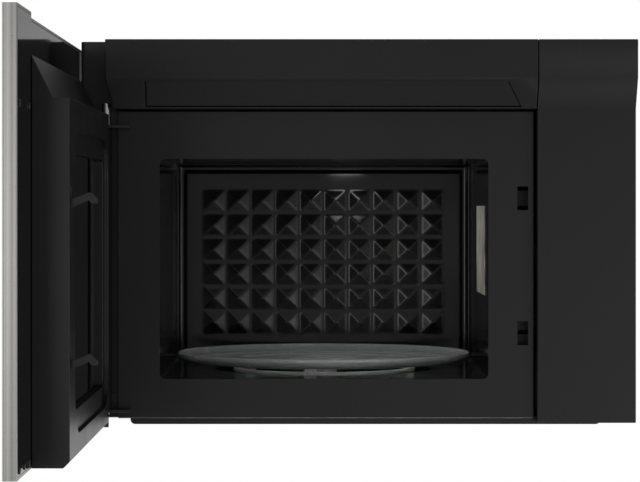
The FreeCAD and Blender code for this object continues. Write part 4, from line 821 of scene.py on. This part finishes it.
def makeFilters():
    look = greaseFilter
    for node in ("left_grease_filter", "right_grease_filter"):
        low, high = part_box(node)
        tall = (high.z - low.z) / mm
        rim = look["rimMm"]
        lip = look["lipMm"]
        section = [(0, lip), (lip, 0), (rim - lip, 0), (rim, lip), (rim, 2 * lip), (rim - 2, 2.0),
                   (rim - 2, tall - 1.4), (rim, tall - 1.0), (rim, tall - 0.4), (rim - 0.6, tall),
                   (lip, tall), (0, tall - lip)]
        frameMesh = makeRimFrame(node, low, high, section)
        rimPiece = addPiece(node + "_rim", frameMesh, "filter_mesh", bodyOf[node], node)
        breakEdges(rimPiece, 0.3)
        inset = Vector(((rim - 1.5) * mm, (rim - 1.5) * mm, 0))
        for layer in range(look["layers"]):
            z = low.z + (look["meshMm"] + look["layerMm"] * layer) * mm
            mesh = makeExpandedSheet(node, low + inset, high - inset, z, layer)
            addPiece(f"{node}_mesh_{layer + 1}", mesh, "filter_mesh", bodyOf[node])


lens = {"ribMm": 3.0, "ribDepthMm": 0.5, "rimMm": 2.5}


def makeLens():
    low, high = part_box("cooktop_lamp_lens")
    rim = lens["rimMm"] * mm
    start = low.x + rim
    ribs = round((high.x - low.x - 2 * rim) / (lens["ribMm"] * mm))
    bottom = [(low.x, low.z), (start, low.z)]
    for index in range(ribs):
        x0 = start + index * (high.x - low.x - 2 * rim) / ribs
        x1 = start + (index + 1) * (high.x - low.x - 2 * rim) / ribs
        bottom += [((x0 + x1) / 2, low.z + lens["ribDepthMm"] * mm), (x1, low.z)]
    bottom.append((high.x, low.z))
    top = [(x, high.z) for x, z in bottom]
    corners = []
    for y in (low.y, low.y + rim, high.y - rim, high.y):
        ribbed = y not in (low.y, high.y)
        corners += [(x, y, z if ribbed else low.z) for x, z in bottom]
    corners += [(x, y, z) for y in (low.y, high.y) for x, z in top]
    wide = len(bottom)
    faces = [(r * wide + c, r * wide + c + 1, (r + 1) * wide + c + 1, (r + 1) * wide + c)
             for r in range(3) for c in range(wide - 1)]
    roof = 4 * wide
    faces += [(roof + c, roof + c + 1, roof + wide + c + 1, roof + wide + c) for c in range(wide - 1)]
    faces += [(c, c + 1, roof + c + 1, roof + c) for c in range(wide - 1)]
    faces += [(3 * wide + c, 3 * wide + c + 1, roof + wide + c + 1, roof + wide + c) for c in range(wide - 1)]
    for end in (0, wide - 1):
        faces.append((end, wide + end, 2 * wide + end, 3 * wide + end, roof + wide + end, roof + end))
    piece = addPiece("cooktop_lamp_lens_ribbed", makeMesh("lens", corners, faces), "frosted_lens", "root",
                     "cooktop_lamp_lens")
    for face in piece.data.polygons:
        face.use_smooth = False


# pan head screws with a cross recess; "out" is the way the head looks
screwHead = {"steps": 32, "rings": 7, "crossMm": 0.55, "crossReachMm": 1.9, "crossDepth": 0.75,
             "sunkMm": 1.2, "sunkHeadMm": 1.15, "headShare": 0.95,
             "nutHalf": ((3.3, 0.4), (3.7, 0), (5.2, 0), (5.5, 0.4))}


def makeScrewHead(name, place, out, radiusMm, heightMm):
    look = screwHead
    turn = Vector((0, 0, 1)).rotation_difference(Vector(out)).to_matrix()
    corners = []
    faces = []
    steps = look["steps"]
    for ring in range(look["rings"] + 1):
        share = ring / look["rings"]
        radius = radiusMm * share
        for step in range(steps):
            angle = 2 * math.pi * step / steps
            x = radius * math.cos(angle)
            y = radius * math.sin(angle)
            dome = heightMm * (1 - 0.45 * share ** 3) - (0.25 * heightMm if ring == look["rings"] else 0)
            inCross = min(abs(x), abs(y)) < look["crossMm"] and max(abs(x), abs(y)) < look["crossReachMm"]
            height = dome - look["crossDepth"] * heightMm * inCross * (1 - 0.3 * share)
            corners.append(turn @ (Vector((x, y, height)) * mm) + Vector(place))
    foot = len(corners)
    for step in range(steps):
        angle = 2 * math.pi * step / steps
        spot = Vector((radiusMm * math.cos(angle), radiusMm * math.sin(angle), 0)) * mm
        corners.append(turn @ spot + Vector(place))
    for ring in range(look["rings"] + 1):
        for step in range(steps):
            after = (step + 1) % steps
            faces.append((ring * steps + step, ring * steps + after,
                          (ring + 1) * steps + after, (ring + 1) * steps + step))
    faces.append(tuple(range(foot + steps - 1, foot - 1, -1)))
    mesh = makeMesh(name, corners, faces)
    shape = bmesh.new()
    shape.from_mesh(mesh)
    bmesh.ops.remove_doubles(shape, verts=shape.verts, dist=1e-7)
    shape.to_mesh(mesh)
    shape.free()
    return mesh


def joinMeshes(name, meshes):
    shape = bmesh.new()
    for mesh in meshes:
        shape.from_mesh(mesh)
    joined = bpy.data.meshes.new(name)
    shape.to_mesh(joined)
    shape.free()
    return joined


def makeScrews():
    look = screwHead
    heads = []
    rest = []
    for low, high in looseBoxes("case_fasteners"):
        middle = (low + high) / 2
        size = high - low
        if size.z > 5 * mm and middle.z < 0:
            # cover screw: its head lies flush in the bottom cover
            heads.append(makeScrewHead("cover", (middle.x, middle.y, low.z + look["sunkMm"] * mm), (0, 0, -1),
                                       size.x / 2 / mm, look["sunkHeadMm"]))
        elif size.y < 3 * mm:
            # hinge screw: its head stands on the bracket's flange
            heads.append(makeScrewHead("hinge", (middle.x, high.y, middle.z), (0, -1, 0), size.x / 2 / mm,
                                       size.y / mm * look["headShare"]))
        else:
            # weld nut under the roof
            half = look["nutHalf"]
            profile = list(half) + [(r, size.z / mm - h) for r, h in reversed(half)]
            rest.append(makeTurned("nut", profile, (middle.x, middle.y, low.z), steps=6))
    joined = joinMeshes("case_fasteners", heads + rest)
    addPiece("case_fasteners_headed", joined, "zinc_screw", "root", "case_fasteners").data.shade_smooth()
    heads = []
    for low, high in looseBoxes("door_screws"):
        middle = (low + high) / 2
        size = high - low
        heads.append(makeScrewHead("door", (low.x, middle.y, middle.z), (1, 0, 0), size.z / 2 / mm,
                                   size.x / mm * look["headShare"]))
    joined = joinMeshes("door_screws", heads)
    addPiece("door_screws_headed", joined, "black_screw", "door", "door_screws").data.shade_smooth()


makeFilters()
makeLens()
makeScrews()

# ---- door: perforated screen, printed glass
print("stage: door")

# round holes of 1.2 mm at 2 mm in the real screen; drawn at 4.5 mm so that they show
screen = {"pitchMm": 4.5, "holeMm": 3.0, "borderMm": 4.0, "sheetMm": 0.6, "rimBackMm": 0.05}


def makeScreen():
    low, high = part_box("window_screen")
    pitch = screen["pitchMm"] * mm
    hole = screen["holeMm"] * mm / 2
    rise = pitch * math.sqrt(3) / 2
    x = (low.x + high.x) / 2
    margin = screen["borderMm"] * mm
    columns = int((high.y - low.y - 2 * margin) / pitch)
    rows = int((high.z - low.z - 2 * margin) / rise)
    outer = pitch / math.sqrt(3)
    corners = []
    faces = []
    for row in range(rows):
        for column in range(columns - row % 2):
            y = (low.y + high.y) / 2 + (column - (columns - 1) / 2 + (row % 2) / 2) * pitch
            z = (low.z + high.z) / 2 + (row - (rows - 1) / 2) * rise
            start = len(corners)
            for radius in (outer, hole):
                for k in range(6):
                    angle = math.radians(60 * k + 30)
                    corners.append((x, y + radius * math.cos(angle), z + radius * math.sin(angle)))
            for k in range(6):
                after = (k + 1) % 6
                faces.append((start + k, start + after, start + 6 + after, start + 6 + k))
    edgeY = (columns / 2) * pitch
    edgeZ = ((rows - 1) / 2) * rise + outer / 2
    rectangles = [(low.y, high.y, (low.z + high.z) / 2 + edgeZ, high.z),
                  (low.y, high.y, low.z, (low.z + high.z) / 2 - edgeZ),
                  (low.y, (low.y + high.y) / 2 - edgeY + pitch / 2, low.z, high.z),
                  ((low.y + high.y) / 2 + edgeY - pitch / 2, high.y, low.z, high.z)]
    for y0, y1, z0, z1 in rectangles:
        start = len(corners)
        back = x - screen["rimBackMm"] * mm
        corners += [(back, y0, z0), (back, y1, z0), (back, y1, z1), (back, y0, z1)]
        faces.append((start, start + 1, start + 2, start + 3))
    mesh = makeMesh("screen", corners, faces, outwards=False)
    shape = bmesh.new()
    shape.from_mesh(mesh)
    bmesh.ops.remove_doubles(shape, verts=shape.verts, dist=1e-6)
    shape.to_mesh(mesh)
    shape.free()
    piece = addPiece("window_screen_perforated", mesh, "screen_steel", "door", "window_screen")
    for face in mesh.polygons:
        face.use_smooth = False
    thick = piece.modifiers.new("sheet", "SOLIDIFY")
    thick.thickness = screen["sheetMm"] * mm
    thick.offset = 0


makeScreen()

# the outer glass stands back by the print's thickness, so that the print ends flush with the door
doorGlass = {"printMm": 0.25, "edgeMm": 0.8, "inkFromMm": 0.02, "inkInMm": 0.05}


def makeDoorGlass():
    low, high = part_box("door_glass")
    face = low.x + doorGlass["printMm"] * mm
    corners = [(x, y, z) for x in (face, high.x) for y in (low.y, high.y) for z in (low.z, high.z)]
    faces = [(0, 1, 3, 2), (4, 6, 7, 5), (0, 4, 5, 1), (2, 3, 7, 6), (0, 2, 6, 4), (1, 5, 7, 3)]
    piece = addPiece("door_glass_ground", makeMesh("glass", corners, faces), "black_glass", "door", "door_glass")
    breakEdges(piece, doorGlass["edgeMm"], 3)


# touch controls on the glass: plain digits and signs, and a lit clock above them; mm on the closed door
controls = {"middle": 247, "columns": (-22, 0, 22), "topRow": 52, "rowPitch": 19, "digitSize": 13,
            "clockHeight": 92, "clockDigits": "1030", "clockDigit": (8.0, 14.0), "clockPitch": 12.5, "bar": 1.4,
            "ringOuter": 5.4, "ringInner": 4.6, "ruleWidth": 56, "ruleHeight": 0.5}

hingePlace = next(Vector(joint["pos_m"]) for joint in frame["joints"] if joint["child"] == "door")


# a closed sliver of ink on the glass; its outline is in mm, across the closed door and up it
def makeInk(outline):
    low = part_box("door_glass")[0]
    count = len(outline)
    corners = []
    behind = doorGlass["printMm"] + doorGlass["inkInMm"]
    for x in (low.x + doorGlass["inkFromMm"] * mm, low.x + behind * mm):
        corners += [(x, hingePlace.x + hingePlace.y - across * mm, up * mm) for across, up in outline]
    faces = [tuple(range(count)), tuple(range(2 * count - 1, count - 1, -1))]
    faces += [(i, (i + 1) % count, count + (i + 1) % count, count + i) for i in range(count)]
    return makeMesh("ink", corners, faces)


def barOutline(x, z, width, height):
    return [(x - width / 2, z - height / 2), (x + width / 2, z - height / 2),
            (x + width / 2, z + height / 2), (x - width / 2, z + height / 2)]


# a digit in Blender's own font, as ink
def makeDigit(digit, x, z, size):
    words = bpy.data.curves.new("digit", "FONT")
    words.body = digit
    words.size = size
    words.align_x = "CENTER"
    words.align_y = "CENTER"
    words.resolution_u = 4
    holder = bpy.data.objects.new("digit", words)
    bpy.context.scene.collection.objects.link(holder)
    flat = bpy.data.meshes.new_from_object(holder)
    bpy.data.objects.remove(holder)
    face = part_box("door_glass")[0].x + doorGlass["inkFromMm"] * mm
    shape = bmesh.new()
    shape.from_mesh(flat)
    bmesh.ops.remove_doubles(shape, verts=shape.verts, dist=1e-4)
    thickness = (doorGlass["printMm"] + doorGlass["inkInMm"] - doorGlass["inkFromMm"]) * mm
    for vert in shape.verts:
        across, up = vert.co.xy
        vert.co = (face, hingePlace.x + hingePlace.y - (x + across) * mm, (z + up) * mm)
    raised = bmesh.ops.extrude_face_region(shape, geom=shape.faces)
    for item in raised["geom"]:
        if isinstance(item, bmesh.types.BMVert):
            item.co.x += thickness
    bmesh.ops.recalc_face_normals(shape, faces=shape.faces)
    mesh = bpy.data.meshes.new("digit")
    shape.to_mesh(mesh)
    shape.free()
    return mesh


def makeRing(x, z, outer, inner, steps=32):
    parts = []
    for step in range(steps):
        a = 2 * math.pi * step / steps
        b = 2 * math.pi * (step + 1) / steps
        parts.append(makeInk([(x + outer * math.cos(a), z + outer * math.sin(a)),
                              (x + outer * math.cos(b), z + outer * math.sin(b)),
                              (x + inner * math.cos(b), z + inner * math.sin(b)),
                              (x + inner * math.cos(a), z + inner * math.sin(a))]))
    return parts


# which of a clock digit's seven bars are lit, from the top clockwise, the middle one last
litBars = {"0": (0, 1, 2, 3, 4, 5), "1": (1, 2), "3": (0, 1, 2, 3, 6)}


def makeClock():
    look = controls
    width, height = look["clockDigit"]
    bar = look["bar"]
    spots = [(0, height / 2, 0), (width / 2, height / 4, 1), (width / 2, -height / 4, 1), (0, -height / 2, 0),
             (-width / 2, -height / 4, 1), (-width / 2, height / 4, 1), (0, 0, 0)]
    parts = []
    for index, digit in enumerate(look["clockDigits"]):
        x = look["middle"] + (index - 1.5) * look["clockPitch"] + (bar if index > 1 else -bar)
        for lit in litBars[digit]:
            dx, dz, upright = spots[lit]
            size = (bar, height / 2 - bar * 0.7) if upright else (width - bar * 1.2, bar)
            parts.append(makeInk(barOutline(x + dx, look["clockHeight"] + dz, *size)))
    for dz in (-height / 5, height / 5):
        parts.append(makeInk(barOutline(look["middle"], look["clockHeight"] + dz, bar, bar)))
    addPiece("door_clock", joinMeshes("clock", parts), "display_window", "door", finish="glow")


def makeKeypad():
    look = controls
    middle = look["middle"]
    parts = []
    for index, digit in enumerate("1234567890"):
        column = 1 if digit == "0" else index % 3
        z = look["topRow"] - look["rowPitch"] * (index // 3)
        parts.append(makeDigit(digit, middle + look["columns"][column], z, look["digitSize"]))
    left, right = (middle + look["columns"][k] for k in (0, 2))
    rows = [look["topRow"] - look["rowPitch"] * step for step in range(8)]
    # minus and plus either side of the nought
    parts.append(makeInk(barOutline(left, rows[3], 7, 0.9)))
    parts.append(makeInk(barOutline(right, rows[3], 7, 0.9)))
    parts += [makeInk(barOutline(right, rows[3] + side * 1.98, 0.9, 3.05)) for side in (-1, 1)]
    # stop square, start triangle
    parts.append(makeInk(barOutline(left, rows[4] - 6, 8, 8)))
    parts.append(makeInk([(right - 4, rows[4] - 11), (right + 5, rows[4] - 6), (right - 4, rows[4] - 1)]))
    # lamp: a ring with four rays; fan: a ring with a hub
    for x in (left, right):
        parts += makeRing(x, rows[6], look["ringOuter"], look["ringInner"])
    parts += [makeInk(barOutline(left + side * 8, rows[6], 2.4, 0.8)) for side in (-1, 1)]
    parts += [makeInk(barOutline(left, rows[6] + side * 8, 0.8, 2.4)) for side in (-1, 1)]
    parts += [makeInk([(right + 0.6 * math.cos(a - 0.9), rows[6] + 0.6 * math.sin(a - 0.9)),
                       (right + 4.0 * math.cos(a), rows[6] + 4.0 * math.sin(a)),
                       (right + 3.0 * math.cos(a + 0.7), rows[6] + 3.0 * math.sin(a + 0.7))])
              for a in (0, 2.094, 4.189)]
    for z in (look["topRow"] + 17, rows[3] - 12.5, rows[5] - 5):
        parts.append(makeInk(barOutline(middle, z, look["ruleWidth"], look["ruleHeight"])))
    addPiece("door_keypad_print", joinMeshes("keypad", parts), "white_moulding", "door", finish="print")


makeDoorGlass()
makeClock()
makeKeypad()


# ---- what is left keeps its CAD form and takes its finish
for node, part in frame["nodes"].items():
    if part.hide_render:
        continue
    part.data.materials.clear()
    part.data.materials.append(finishes[slotOf[node]])

print("stage: finish")
